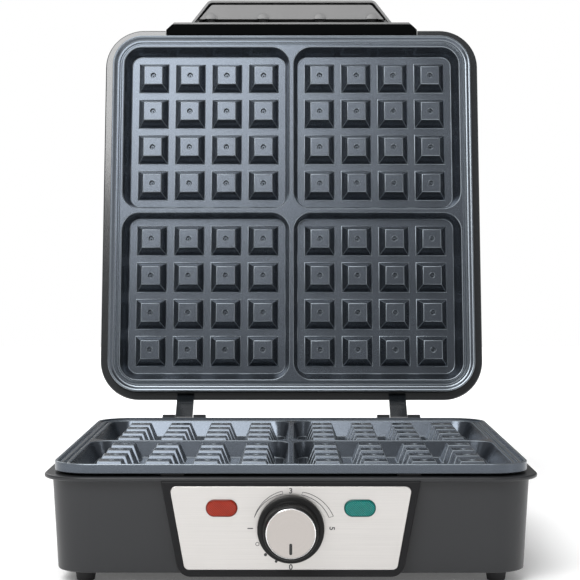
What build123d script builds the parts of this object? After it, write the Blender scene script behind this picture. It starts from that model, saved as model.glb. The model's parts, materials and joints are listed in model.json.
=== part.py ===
"""Four-slice waffle maker: two cast grid plates in hinged moulded housings, with a steel control panel.

The frame has +X to the user's right, +Y towards the hinge at the back and +Z up. Its origin is on the
table, under the centre of the lower plate. The lid is drawn open, leaning back on its stops. Each plate
has a face plane: its rim plane, with local +Z pointing out of the cooking face. Depths are measured from
that plane into the housing behind it, so the base and the lid share them.
"""

import os
from math import atan2, cos, degrees, radians, sin

from build123d import *

# ---- driving dimensions, in millimetres and degrees ----

# cast plates; the grid of pegs and the rim around it give the plate's side
rim_width = 7.8
plate_corner = 20.5
skirt_depth = 5.0
lip_width = 1.15
lip_slope = 2.0
lip_drop = 1.2
land_width = 1.7
drip_width = 1.3
drip_depth = 1.0
peg_rows = 4
peg_pitch = 25.0
peg_base = 19.8
peg_top = 12.4
peg_height = 9.5
dimple_radius = 1.0
dimple_depth = 0.8
floor_margin = 5.2
floor_corner = 6.75
opening_corner = 12.0
web_top = 2.9
web_draft = 2.5
wall_draft = 4.8
slab = 2.5
tray_inset = 6.85
tray_draft = 3.7

# heating elements, in cast rails under the plates
element_radius = 3.3
element_span = 150.0
element_reach = 100.0
element_front = 75.0
element_bend = 35.0
element_fit = 0.1
rail_width = 11.0
rail_height = 5.0
element_proud = 1.4
terminal_radius = 1.2
terminal_length = 9.0

# height, mouth of each housing, and the fall from the rim plane to each level
rim_height = 61.5
foot_height = 6.0
flange_margin = 5.25
flange_drop = 6.25
flange_thick = 2.25
deck_margin = 5.75
pad_length = 12.0
pad_width = 3.0
pad_offset = 60.0
pad_inset = 0.5
wall = 2.5

# base housing
wall_inset = 4.2
wall_fall = 2.8
rear_extra = 6.0
edge_round = 0.9
cover_gap = 0.3
cover_post = 4.5
post_clearance = 6.1
cover_screw_x = 84.0
cover_screw_inset = 14.0

# raised surround of the control panel, and the panel
boss_proud = 8.0
boss_top_half = 65.3
boss_bottom_half = 56.2
boss_bottom = 5.4
boss_lap = 0.5
boss_corner = 7.0
panel_thick = 1.3
panel_sink = 0.8
panel_top_half = 61.0
panel_bottom_half = 53.4
panel_margin = 2.4
panel_bottom = 9.1
panel_corner = 2.8
panel_bevel = 0.4

# control knob and thermostat
knob_drop = 31.5
knob_radius = 16.8
knob_grip_radius = 14.2
knob_length = 16.3
knob_skirt = 5.5
knob_gap = 0.5
cap_radius = 12.4
cap_thick = 0.8
pointer_width = 1.5
pointer_length = 5.7
pointer_offset = 7.6
shaft_radius = 3.0
shaft_fit = 0.05
shaft_flat = 1.9
shaft_recess = 2.4
bush_radius = 4.8
thermostat_width = 27.0
thermostat_height = 16.0
thermostat_depth = 13.0
thermostat_bore = 9.0
thermostat_corner = 2.0
bracket_half = 23.0
bracket_height = 17.0
bracket_thick = 1.2
bracket_post = 4.0
bracket_post_length = 7.0
bracket_screw_x = 17.5

# indicator lamps
lamp_x = 34.7
lamp_drop = 21.3
lens_length = 16.0
lens_width = 8.7
lens_proud = 1.4
lens_flange = 1.2
lamp_fit = 0.15
holder_wall = 1.3
holder_depth = 8.4
neon_radius = 2.0
neon_length = 9.0
neon_round = 1.8
lens_tail = 2.4
lens_round = 1.1

# hinge
open_angle = 100.3
hinge_reach = 22.6
hinge_drop = 6.7
rim_gap = 0.6
knuckle_radius = 6.5
knuckle_width = 11.2
lug_width = 8.0
knuckle_gap = 0.4
hinge_x = 70.0
pin_radius = 2.5
pin_fit = 0.08
pin_seat = 0.02
pin_head = 4.0
pin_head_thick = 1.6
stop_length = 14.0
stop_half = 3.0
stop_gap = 0.3
lug_foot_drop = 26.8
lug_top_drop = 3.8
lug_root = 1.0
bridge_drop = 20.8
bridge_height = 12.0

# lid housing
lid_depth = 46.0
lid_wall_inset = 3.2
lid_crown = 14.0
lid_fit = 0.3
upstand = 1.6
upstand_depth = 14.0
lid_screw_x = 40.0
lid_screw_depth = 14.0
lid_screw_block = 5.0
lid_screw_block_width = 6.4
lid_panel_half = 82.0
lid_panel_rise = 1.2
lid_panel_round = 0.95
arm_root = 2.0

# handle, on a bar across the front of the lid
bar_half = 86.0
bar_thick = 7.5
bar_high = 5.0
bar_low = 27.0
bar_chamfer = 4.0
grip_root_half = 70.5
grip_tip_half = 57.0
grip_reach = 18.0
grip_high = 8.0
grip_low = 25.0
grip_corner = 5.0
grip_wall = 1.6
grip_neck = 4.6
handle_cover_gap = 0.35
handle_cover_thick = 2.0
handle_cover_sink = 0.6
handle_pad_radius = 3.8
handle_pad_rise = 0.3
handle_screw_inner = 19.5
handle_screw_outer = 55.6
handle_screw_depth = 18.0
handle_boss_radius = 3.2

# sheet shields behind the plates, and the screws that draw them up
sheet = 0.8
shield_inset = 6.55
shield_lip = 3.4
shield_depth = 20.9
plate_screw_x = 45.0
plate_screw_y = 48.0
plate_boss_radius = 5.0

# screws
screw_radius = 1.6
screw_head = 3.4
screw_head_height = 2.2
screw_clearance = 0.5
screw_fit = 0.05
screw_bite = 6.0

# feet
foot_inset = 14.5
foot_radius = 5.5
foot_tip_radius = 4.6
foot_stem = 3.0
foot_stem_length = 4.5

# cord inlet and what lies inside the base
gland_inset = 24.0
gland_height = 27.0
gland_bore = 3.6
gland_radius = 6.5
gland_tip_radius = 5.0
gland_flange = 9.0
gland_flange_thick = 2.0
gland_tail = 22.0
gland_neck = 6.0
gland_boss = 4.85
gland_boss_margin = 1.5
inlet_corner = 2.0
terminal_block_size = (32.0, 18.0, 13.0)
terminal_block_at = (40.0, 84.0)
fuse_radius = 2.2
fuse_length = 14.0
fuse_at = (0.0, 60.0)
fuse_strap = 6.0
fuse_strap_thick = 0.8
fuse_strap_length = 24.0
sheet_gap = 0.1
lead_pitch = 10.0
lead_radius = 1.1
lead_bend = 5.0
lead_side = 22.0
lead_spread = 6.0
lead_hole = 3.3
vent_length = 44.0
vent_width = 4.0
vent_pitch = 9.0
vent_rows = 7

# ---- what follows from them ----

floor_side = (peg_rows - 1) * peg_pitch + peg_base + 2 * floor_margin
quadrant_pitch = floor_side + web_top + 2 * web_draft
opening_side = floor_side + web_draft + wall_draft
opening_pitch = opening_side + web_top
plate_half = (opening_pitch + opening_side) / 2 + rim_width
lean = radians(open_angle - 90)
hinge_y = plate_half + hinge_reach
hinge_z = rim_height - hinge_drop
lid_hinge_drop = hinge_drop + rim_gap

base_face = Plane.XY.offset(rim_height)
lid_up = (0, sin(lean), cos(lean))
lid_out = (0, -cos(lean), sin(lean))
lid_face = Plane(
    origin=(
        0,
        hinge_y + hinge_y * sin(lean) + lid_hinge_drop * cos(lean),
        hinge_z + hinge_y * cos(lean) - lid_hinge_drop * sin(lean),
    ),
    x_dir=(1, 0, 0),
    z_dir=lid_out,
)
lid_side = Plane(origin=lid_face.origin, x_dir=lid_up, z_dir=(1, 0, 0))

lip_inner = plate_half - lip_width
land_outer = lip_inner - lip_slope
drip_outer = land_outer - land_width
drip_inner = drip_outer - drip_width
floor_depth = lip_drop + peg_height
slab_depth = floor_depth + slab
peg_taper = degrees(atan2((peg_base - peg_top) / 2, peg_height))
element_depth = slab_depth + rail_height - element_radius + element_proud

flange_half = plate_half + flange_margin
opening_half = plate_half - deck_margin
flange_bottom = flange_drop + flange_thick
wall_top_half = flange_half - wall_inset
wall_bottom_half = wall_top_half - wall_fall
cover_half = wall_bottom_half - wall - cover_gap
boss_front = wall_bottom_half + boss_proud
boss_top = rim_height - flange_bottom + boss_lap
boss_depth = boss_proud + wall
panel_top = boss_top - panel_margin
panel_back = boss_front - panel_sink
panel_front = panel_back + panel_thick
surround_back = panel_back - wall
bracket_y = surround_back - bracket_post_length
knob_height = rim_height - knob_drop
lamp_height = rim_height - lamp_drop
lid_wall_half = flange_half - lid_wall_inset
bar_back = lid_wall_half
bar_front = bar_back + bar_thick
lug_x = hinge_x - knuckle_width / 2 - knuckle_gap - lug_width
handle_seat = Plane(origin=lid_face.origin + lid_face.y_dir * bar_back, x_dir=(-1, 0, 0), z_dir=lid_up)
handle_front = Plane(origin=lid_face.origin + lid_face.y_dir * bar_front, x_dir=(-1, 0, 0), z_dir=lid_up)
handle_screw_x = (-handle_screw_outer, -handle_screw_inner, handle_screw_inner, handle_screw_outer)
handle_screw_places = [(x, -handle_screw_depth) for x in handle_screw_x]
thread_radius = screw_radius + screw_fit
hole_radius = screw_radius + screw_clearance


def four_places(half_x, low_y, high_y):
    """Give the four places at plus and minus half_x, each at low_y and at high_y."""
    return [(x, y) for x in (-half_x, half_x) for y in (low_y, high_y)]


plate_screw_places = four_places(plate_screw_x, -plate_screw_y, plate_screw_y)


def corner_at(half):
    """Corner radius of a rounded square that is concentric with the plate's outline."""
    return plate_corner + half - plate_half


def ring(half, extra=0.0, side=1):
    """Draw a rounded square around the plate, longer by extra towards the side of the hinge."""
    with Locations((0, side * extra / 2)):
        RectangleRounded(2 * half, 2 * half + abs(extra), corner_at(half))


def element_path(face, hinge_side):
    """Centre line of a heating element: a U with both ends towards the hinge."""
    half = element_span / 2
    with BuildLine(face.offset(-element_depth)) as path:
        FilletPolyline(
            (-half, hinge_side * element_reach),
            (-half, -hinge_side * element_front),
            (half, -hinge_side * element_front),
            (half, hinge_side * element_reach),
            radius=element_bend,
        )
    return path.line


def cast_plate(face, hinge_side):
    """Make a grid plate with four cavities, its rim, its element rail and its screw bosses."""
    with BuildPart() as plate:
        with BuildSketch(face.offset(-skirt_depth)):
            ring(plate_half)
        extrude(amount=skirt_depth)
        with BuildSketch(face.offset(-skirt_depth)):
            ring(plate_half - tray_inset)
        with BuildSketch(face.offset(-slab_depth)):
            ring(plate_half - tray_inset - tray_draft)
        loft(ruled=True)
        with BuildSketch(face):
            ring(lip_inner)
        with BuildSketch(face.offset(-lip_drop)):
            ring(land_outer)
        loft(ruled=True, mode=Mode.SUBTRACT)
        with BuildSketch(face.offset(-lip_drop)):
            ring(drip_outer)
            with Locations((0, 0)):
                RectangleRounded(2 * drip_inner, 2 * drip_inner, corner_at(drip_inner), mode=Mode.SUBTRACT)
        extrude(amount=-drip_depth, mode=Mode.SUBTRACT)
        for side_x in (-1, 1):
            for side_y in (-1, 1):
                with BuildSketch(face.offset(-lip_drop)):
                    with Locations((side_x * opening_pitch / 2, side_y * opening_pitch / 2)):
                        RectangleRounded(opening_side, opening_side, opening_corner)
                with BuildSketch(face.offset(-floor_depth)):
                    with Locations((side_x * quadrant_pitch / 2, side_y * quadrant_pitch / 2)):
                        RectangleRounded(floor_side, floor_side, floor_corner)
                loft(ruled=True, mode=Mode.SUBTRACT)
        with BuildSketch(face.offset(-floor_depth)):
            with GridLocations(quadrant_pitch, quadrant_pitch, 2, 2):
                with GridLocations(peg_pitch, peg_pitch, peg_rows, peg_rows):
                    Rectangle(peg_base, peg_base)
        extrude(amount=peg_height, taper=peg_taper)
        with BuildSketch(face.offset(-lip_drop)):
            with GridLocations(quadrant_pitch, quadrant_pitch, 2, 2):
                with GridLocations(peg_pitch, peg_pitch, peg_rows, peg_rows):
                    Circle(dimple_radius)
        extrude(amount=-dimple_depth, mode=Mode.SUBTRACT)
        path = element_path(face, hinge_side)
        with BuildSketch(face.offset(-slab_depth)):
            with BuildLine():
                add(face.offset(-element_depth).to_local_coords(path))
            trace(line_width=rail_width)
        extrude(amount=-rail_height)
        with BuildSketch(face.offset(-slab_depth)):
            with Locations(*plate_screw_places):
                Circle(plate_boss_radius)
        extrude(amount=-(shield_depth - sheet - slab_depth))
        with BuildSketch(Plane(origin=path @ 0, x_dir=(1, 0, 0), z_dir=path % 0)):
            Circle(element_radius + element_fit)
        sweep(path=path, mode=Mode.SUBTRACT)
        with BuildSketch(face.offset(sheet - shield_depth)):
            with Locations(*plate_screw_places):
                Circle(thread_radius)
        extrude(amount=screw_bite, mode=Mode.SUBTRACT)
    return plate.part


def heating_element(face, hinge_side):
    """Make a sheathed element that fits the plate's rail, with a terminal pin at each end."""
    path = element_path(face, hinge_side)
    with BuildPart() as element:
        with BuildSketch(Plane(origin=path @ 0, x_dir=(1, 0, 0), z_dir=path % 0)):
            Circle(element_radius)
        sweep(path=path)
        for place, outward in ((path @ 0, -(path % 0)), (path @ 1, path % 1)):
            with BuildSketch(Plane(origin=place, x_dir=(1, 0, 0), z_dir=outward)):
                Circle(terminal_radius)
            extrude(amount=terminal_length)
    return element.part


def sheet_shield(face, hinge_side):
    """Make the sheet pan behind a plate, whose lip bears on the underside of the housing's deck."""
    pan_half = plate_half - shield_inset
    with BuildPart() as shield:
        with BuildSketch(face.offset(-flange_bottom)):
            ring(pan_half + shield_lip)
        extrude(amount=-sheet)
        with BuildSketch(face.offset(-flange_bottom)):
            ring(pan_half)
        extrude(amount=flange_bottom - shield_depth)
        with BuildSketch(face.offset(-flange_bottom)):
            ring(pan_half - sheet)
        extrude(amount=flange_bottom - shield_depth + sheet, mode=Mode.SUBTRACT)
        with BuildSketch(face.offset(-shield_depth)):
            with Locations(*plate_screw_places):
                Circle(hole_radius)
            with Locations((0, hinge_side * (element_reach + terminal_length / 2))):
                with GridLocations(element_span, 1, 2, 1):
                    Circle(lead_hole)
        extrude(amount=sheet, mode=Mode.SUBTRACT)
    return shield.part


def screws(plane, places, length):
    """Make a group of pan-head screws whose shanks run along the plane's normal from its face."""
    with BuildPart() as group:
        with BuildSketch(plane):
            with Locations(*places):
                Circle(screw_head)
        extrude(amount=-screw_head_height)
        along = Axis(plane.origin, plane.z_dir)
        chamfer(group.faces().group_by(along)[0].edges(), screw_head_height / 4)
        with BuildSketch(plane):
            with Locations(*places):
                Circle(screw_radius)
        extrude(amount=length)
    return group.part


def deck_pads(face):
    """Make the pads that stand on a housing's deck and carry the plate's flange."""
    middle = opening_half + pad_width / 2 + pad_inset
    with BuildPart() as pads:
        with BuildSketch(face.offset(-flange_drop)):
            for side in (-1, 1):
                with Locations((0, side * middle)):
                    with GridLocations(2 * pad_offset, 1, 2, 1):
                        Rectangle(pad_length, pad_width)
                with Locations((side * middle, 0)):
                    with GridLocations(1, 2 * pad_offset, 1, 2):
                        Rectangle(pad_width, pad_length)
        extrude(amount=flange_drop - skirt_depth)
    return pads.part


def trapezoid(top_half, top, bottom_half, bottom, inset=0.0, radius=0.0, low_only=False):
    """Draw a trapezoid that narrows downwards, moved inwards by inset, with rounded corners."""
    slope = (top_half - bottom_half) / (top - bottom)
    high, low = top - inset, bottom + inset
    side = inset * (1 + slope * slope) ** 0.5
    with BuildSketch() as outline:
        with BuildLine():
            Polyline(
                (-(top_half - slope * inset - side), high),
                (-(bottom_half + slope * inset - side), low),
                (bottom_half + slope * inset - side, low),
                (top_half - slope * inset - side, high),
                close=True,
            )
        make_face()
        if radius:
            corners = outline.vertices()
            fillet(corners.group_by(Axis.Y)[0] if low_only else corners, radius)
    return outline.sketch


def housing_bore(plane, places, radius, depth):
    """Make the cylinders that are cut from a housing for screws, pins or bushes."""
    with BuildPart() as bore:
        with BuildSketch(plane):
            with Locations(*places):
                Circle(radius)
        extrude(amount=depth)
    return bore.part


def hinge_sides(widths):
    """Give the near plane and the thickness of each slice of both hinges, from their widths."""
    slices = []
    for side in (-1, 1):
        for start, width in widths:
            low = start if side > 0 else -start - width
            slices.append((low, width))
    return slices


# ---- plates, elements, shields and their screws ----

lower_plate = cast_plate(base_face, 1)
upper_plate = cast_plate(lid_face, -1)
lower_element = heating_element(base_face, 1)
upper_element = heating_element(lid_face, -1)
lower_shield = sheet_shield(base_face, 1)
upper_shield = sheet_shield(lid_face, -1)
lower_plate_screws = screws(base_face.offset(-shield_depth), plate_screw_places, screw_bite)
upper_plate_screws = screws(lid_face.offset(-shield_depth), plate_screw_places, screw_bite)

# ---- base housing: rim, drafted wall, posts and hinge lugs, with the panel's surround and the inlet ----

rear_wall = (wall_bottom_half + wall_top_half) / 2 + rear_extra - wall / 2
cover_top = foot_height + wall
cover_screw_front = wall_bottom_half - cover_screw_inset
cover_post_height = rim_height - shield_depth - post_clearance - cover_top
post_places = four_places(cover_screw_x, -cover_screw_front, cover_screw_front + rear_extra)
gland_x = wall_bottom_half - gland_inset
gland_seat = rear_wall + gland_boss
gland_plane = Plane.XZ.offset(-gland_seat)
inlet_side = 2 * (gland_flange + gland_boss_margin)
bracket_places = [(-bracket_screw_x, knob_height), (bracket_screw_x, knob_height)]
lamp_places = [(-lamp_x, lamp_height), (lamp_x, lamp_height)]
slot_length = lens_length - 2 * lens_flange
slot_width = lens_width - 2 * lens_flange
lug_slices = hinge_sides([(lug_x, lug_width), (hinge_x + knuckle_width / 2 + knuckle_gap, lug_width)])
bridge_reach = hinge_y - stop_half - stop_gap - rear_wall
bridge_slices = hinge_sides([(lug_x + lug_width, knuckle_width + 2 * knuckle_gap)])
lug_low = hinge_z - lug_foot_drop
lug_high = hinge_z - lug_top_drop

with BuildPart() as housing_hollow:
    with BuildSketch(base_face.offset(-flange_bottom)):
        ring(wall_top_half - wall, rear_extra)
    with BuildSketch(Plane.XY.offset(foot_height)):
        ring(wall_bottom_half - wall, rear_extra)
    loft(ruled=True)

with BuildPart() as boss_block:
    with BuildSketch(Plane.XZ.offset(boss_front)):
        add(trapezoid(boss_top_half, boss_top, boss_bottom_half, boss_bottom, 0, boss_corner, True))
    extrude(amount=-boss_depth)

with BuildPart() as inlet_solid:
    with BuildSketch(gland_plane):
        with Locations((gland_x, gland_height)):
            RectangleRounded(inlet_side, inlet_side, inlet_corner)
    extrude(amount=gland_boss + wall)

with BuildPart() as base_housing:
    with BuildSketch(base_face.offset(-flange_bottom)):
        ring(flange_half, rear_extra)
    extrude(amount=flange_thick)
    fillet(base_housing.edges().filter_by(Axis.Z, reverse=True), edge_round)
    with BuildSketch(base_face.offset(-flange_bottom)):
        ring(wall_top_half, rear_extra)
    with BuildSketch(Plane.XY.offset(foot_height)):
        ring(wall_bottom_half, rear_extra)
    loft(ruled=True)
    fillet(base_housing.faces().sort_by(Axis.Z)[0].edges(), edge_round)
    for low, width in lug_slices:
        with BuildSketch(Plane.YZ.offset(low)):
            with Locations((hinge_y, hinge_z)):
                Circle(knuckle_radius)
            with Locations((rear_wall, (lug_low + lug_high) / 2)):
                Rectangle(lug_root, lug_high - lug_low)
            make_hull()
        extrude(amount=width)
    for low, width in bridge_slices:
        with BuildSketch(Plane.YZ.offset(low)):
            with Locations((rear_wall, hinge_z - bridge_drop)):
                Rectangle(bridge_reach, bridge_height, align=(Align.MIN, Align.MIN))
        extrude(amount=width)
    add(housing_hollow.part, mode=Mode.SUBTRACT)
    with BuildSketch(base_face.offset(-flange_bottom)):
        ring(opening_half)
    extrude(amount=flange_thick, mode=Mode.SUBTRACT)
    add(deck_pads(base_face))
    add(boss_block.part, mode=Mode.SUBTRACT)
    add(inlet_solid.part, mode=Mode.SUBTRACT)
    with BuildSketch(Plane.XY.offset(cover_top)):
        with Locations(*post_places):
            Circle(cover_post)
        for x, y in post_places:
            reach = -wall_bottom_half + wall / 2 if y < 0 else wall_bottom_half + rear_extra - wall / 2
            with Locations((x, (y + reach) / 2)):
                Rectangle(wall, abs(reach - y))
    extrude(amount=cover_post_height)
    post_holes = housing_bore(Plane.XY.offset(cover_top), post_places, thread_radius, screw_bite + wall)
    add(post_holes, mode=Mode.SUBTRACT)
    for low, width in lug_slices:
        pin_hole = housing_bore(Plane.YZ.offset(low), [(hinge_y, hinge_z)], pin_radius + pin_seat, width)
        add(pin_hole, mode=Mode.SUBTRACT)

with BuildPart() as panel_surround:
    add(boss_block.part)
    fillet(panel_surround.faces().sort_by(Axis.Y)[0].edges(), edge_round)
    with BuildSketch(Plane.XZ.offset(surround_back)):
        add(trapezoid(boss_top_half, boss_top, boss_bottom_half, boss_bottom, wall))
    extrude(amount=-boss_depth, mode=Mode.SUBTRACT)
    add(housing_hollow.part, mode=Mode.SUBTRACT)
    with BuildSketch(Plane.XZ.offset(boss_front)):
        add(trapezoid(panel_top_half, panel_top, panel_bottom_half, panel_bottom, -lamp_fit, panel_corner))
    extrude(amount=-panel_sink, mode=Mode.SUBTRACT)
    with BuildSketch(Plane.XZ.offset(panel_back)):
        with Locations((0, knob_height)):
            Circle(bush_radius + lamp_fit)
        with Locations(*lamp_places):
            SlotOverall(slot_length + 2 * lamp_fit, slot_width + 2 * lamp_fit)
    extrude(amount=-wall, mode=Mode.SUBTRACT)
    with BuildSketch(Plane.XZ.offset(surround_back)):
        with Locations(*bracket_places):
            Circle(bracket_post)
    extrude(amount=-bracket_post_length)
    bracket_holes = housing_bore(Plane.XZ.offset(bracket_y), bracket_places, thread_radius, screw_bite)
    add(bracket_holes, mode=Mode.SUBTRACT)

with BuildPart() as inlet_block:
    add(inlet_solid.part)
    gland_hole = housing_bore(gland_plane, [(gland_x, gland_height)], gland_neck + lamp_fit, gland_flange)
    add(gland_hole, mode=Mode.SUBTRACT)


# ---- bottom cover, its screws and the feet ----

foot_half = wall_bottom_half - foot_inset
foot_places = four_places(foot_half, -foot_half, foot_half)
foot_names = ("foot_front_left", "foot_rear_left", "foot_front_right", "foot_rear_right")

with BuildPart() as bottom_cover:
    with BuildSketch(Plane.XY.offset(foot_height)):
        ring(cover_half, rear_extra)
        with Locations(*post_places):
            Circle(hole_radius, mode=Mode.SUBTRACT)
        with Locations(*foot_places):
            Circle(foot_stem, mode=Mode.SUBTRACT)
        with GridLocations(vent_length + 2 * wall, vent_pitch, 2, vent_rows):
            SlotOverall(vent_length, vent_width, mode=Mode.SUBTRACT)
    extrude(amount=wall)
bottom_cover_screws = screws(Plane.XY.offset(foot_height), post_places, screw_bite + wall)

feet = []
for x, y in foot_places:
    with BuildPart() as foot:
        with BuildSketch(Plane.XY.offset(foot_height)):
            with Locations((x, y)):
                Circle(foot_radius)
        with BuildSketch(Plane.XY):
            with Locations((x, y)):
                Circle(foot_tip_radius)
        loft()
        fillet(foot.faces().sort_by(Axis.Z)[0].edges(), edge_round)
        with BuildSketch(Plane.XY.offset(foot_height)):
            with Locations((x, y)):
                Circle(foot_stem)
        extrude(amount=foot_stem_length)
    feet.append(foot.part)

# ---- control panel, lamps, thermostat ----

with BuildPart() as front_panel:
    with BuildSketch(Plane.XZ.offset(panel_back)):
        add(trapezoid(panel_top_half, panel_top, panel_bottom_half, panel_bottom, 0, panel_corner))
    extrude(amount=panel_thick)
    chamfer(front_panel.faces().sort_by(Axis.Y)[0].edges(), panel_bevel)
    with BuildSketch(Plane.XZ.offset(panel_front)):
        with Locations((0, knob_height)):
            Circle(bush_radius + lamp_fit)
        with Locations(*lamp_places):
            SlotOverall(slot_length + 2 * lamp_fit, slot_width + 2 * lamp_fit)
    extrude(amount=-panel_thick, mode=Mode.SUBTRACT)

lenses, holders, neons = [], [], []
holder_length = slot_length + 2 * lamp_fit + 2 * holder_wall
holder_width = slot_width + 2 * lamp_fit + 2 * holder_wall
holder_back = surround_back - holder_depth
for place in lamp_places:
    with BuildPart() as lens:
        with BuildSketch(Plane.XZ.offset(panel_front)):
            with Locations(place):
                SlotOverall(lens_length, lens_width)
        extrude(amount=lens_proud)
        fillet(lens.faces().sort_by(Axis.Y)[0].edges(), lens_round)
        with BuildSketch(Plane.XZ.offset(panel_front)):
            with Locations(place):
                SlotOverall(slot_length, slot_width)
        extrude(amount=-(panel_front - surround_back + lens_tail))
    with BuildPart() as holder:
        with BuildSketch(Plane.XZ.offset(surround_back)):
            with Locations(place):
                SlotOverall(holder_length, holder_width)
        extrude(amount=-holder_depth)
        with BuildSketch(Plane.XZ.offset(surround_back)):
            with Locations(place):
                SlotOverall(holder_length - 2 * holder_wall, holder_width - 2 * holder_wall)
        extrude(amount=holder_wall - holder_depth, mode=Mode.SUBTRACT)
    with BuildPart() as neon:
        with BuildSketch(Plane.YZ.offset(place[0] - neon_length / 2)):
            with Locations((-(holder_back + holder_wall + neon_radius), place[1])):
                Circle(neon_radius)
        extrude(amount=neon_length)
        ends = neon.faces().filter_by(GeomType.PLANE)
        fillet(ends.edges(), neon_round)
    lenses.append(lens.part)
    holders.append(holder.part)
    neons.append(neon.part)

with BuildPart() as thermostat_bracket:
    with BuildSketch(Plane.XZ.offset(bracket_y)):
        with Locations((0, knob_height)):
            Rectangle(2 * bracket_half, bracket_height)
            Circle(bush_radius, mode=Mode.SUBTRACT)
        with Locations(*bracket_places):
            Circle(hole_radius, mode=Mode.SUBTRACT)
    extrude(amount=-bracket_thick)
bracket_screws = screws(
    Plane(origin=(0, bracket_thick - bracket_y, 0), x_dir=(1, 0, 0), z_dir=(0, -1, 0)),
    bracket_places,
    screw_bite,
)

thermostat_face = bracket_y - bracket_thick
with BuildPart() as thermostat:
    with BuildSketch(Plane.XZ.offset(thermostat_face)):
        with Locations((0, knob_height)):
            RectangleRounded(thermostat_width, thermostat_height, thermostat_corner)
    extrude(amount=-thermostat_depth)
    with BuildSketch(Plane.XZ.offset(thermostat_face)):
        with Locations((0, knob_height)):
            Circle(bush_radius)
    extrude(amount=panel_back - cover_gap - thermostat_face)
    with BuildSketch(Plane.XZ.offset(panel_back)):
        with Locations((0, knob_height)):
            Circle(shaft_radius + shaft_fit)
    extrude(amount=-(panel_back - thermostat_face + thermostat_bore), mode=Mode.SUBTRACT)

# ---- knob body: shaft, knob, cap and pointer ----

knob_back = panel_front + knob_gap
knob_front = knob_back + knob_length
shaft_end = knob_front - shaft_recess
shaft_start = thermostat_face - thermostat_bore + cover_gap

with BuildPart() as thermostat_shaft:
    with BuildSketch(Plane.XZ.offset(shaft_start)):
        with Locations((0, knob_height)):
            Circle(shaft_radius)
    extrude(amount=shaft_end - shaft_start)
    with BuildSketch(Plane.XZ.offset(knob_back)):
        with Locations((0, knob_height + shaft_flat + shaft_radius / 2)):
            Rectangle(2 * shaft_radius, shaft_radius)
    extrude(amount=shaft_end - knob_back, mode=Mode.SUBTRACT)

with BuildPart() as control_knob:
    with BuildSketch(Plane.XZ.offset(knob_back)):
        with Locations((0, knob_height)):
            Circle(knob_radius)
    extrude(amount=knob_skirt)
    fillet(control_knob.faces().sort_by(Axis.Y)[0].edges(), edge_round)
    with BuildSketch(Plane.XZ.offset(knob_back + knob_skirt)):
        with Locations((0, knob_height)):
            Circle(knob_grip_radius)
    with BuildSketch(Plane.XZ.offset(knob_front)):
        with Locations((0, knob_height)):
            Circle(cap_radius + holder_wall)
    loft()
    with BuildSketch(Plane.XZ.offset(knob_front)):
        with Locations((0, knob_height)):
            Circle(cap_radius)
    extrude(amount=-cap_thick, mode=Mode.SUBTRACT)
    with BuildSketch(Plane.XZ.offset(knob_back)):
        with Locations((0, knob_height)):
            Circle(shaft_radius)
        with Locations((0, knob_height + shaft_flat + shaft_radius / 2)):
            Rectangle(2 * shaft_radius, shaft_radius, mode=Mode.SUBTRACT)
    extrude(amount=shaft_end - knob_back, mode=Mode.SUBTRACT)

pointer_place = (0, knob_height - pointer_offset)
with BuildPart() as knob_cap:
    with BuildSketch(Plane.XZ.offset(knob_front - cap_thick)):
        with Locations((0, knob_height)):
            Circle(cap_radius)
    extrude(amount=2 * cap_thick)
    chamfer(knob_cap.faces().sort_by(Axis.Y)[0].edges(), cap_thick / 2)
    with BuildSketch(Plane.XZ.offset(knob_front + cap_thick)):
        with Locations(pointer_place):
            SlotOverall(pointer_length, pointer_width, rotation=90)
    extrude(amount=-cap_thick, mode=Mode.SUBTRACT)

with BuildPart() as knob_pointer:
    with BuildSketch(Plane.XZ.offset(knob_front)):
        with Locations(pointer_place):
            SlotOverall(pointer_length, pointer_width, rotation=90)
    extrude(amount=cap_thick)

# ---- hinge pins ----

pins = []
for side in (-1, 1):
    head = side * (hinge_x + knuckle_width / 2 + knuckle_gap + lug_width)
    with BuildPart() as pin:
        with BuildSketch(Plane(origin=(head, hinge_y, hinge_z), z_dir=(side, 0, 0))):
            Circle(pin_head)
        extrude(amount=pin_head_thick)
        with BuildSketch(Plane(origin=(head, hinge_y, hinge_z), z_dir=(side, 0, 0))):
            Circle(pin_radius)
        extrude(amount=-(2 * lug_width + 2 * knuckle_gap + knuckle_width))
    pins.append(pin.part)

# ---- lid: frame with hinge arms, cover ----

arm_slices = hinge_sides([(hinge_x - knuckle_width / 2, knuckle_width)])
lid_screw_places = [(x, -lid_screw_depth) for x in (-lid_screw_x, lid_screw_x)]
lid_rear = Plane(origin=lid_face.origin - lid_face.y_dir * lid_wall_half, x_dir=(-1, 0, 0), z_dir=lid_up)

block_top = flange_bottom + sheet + cover_gap

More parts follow.
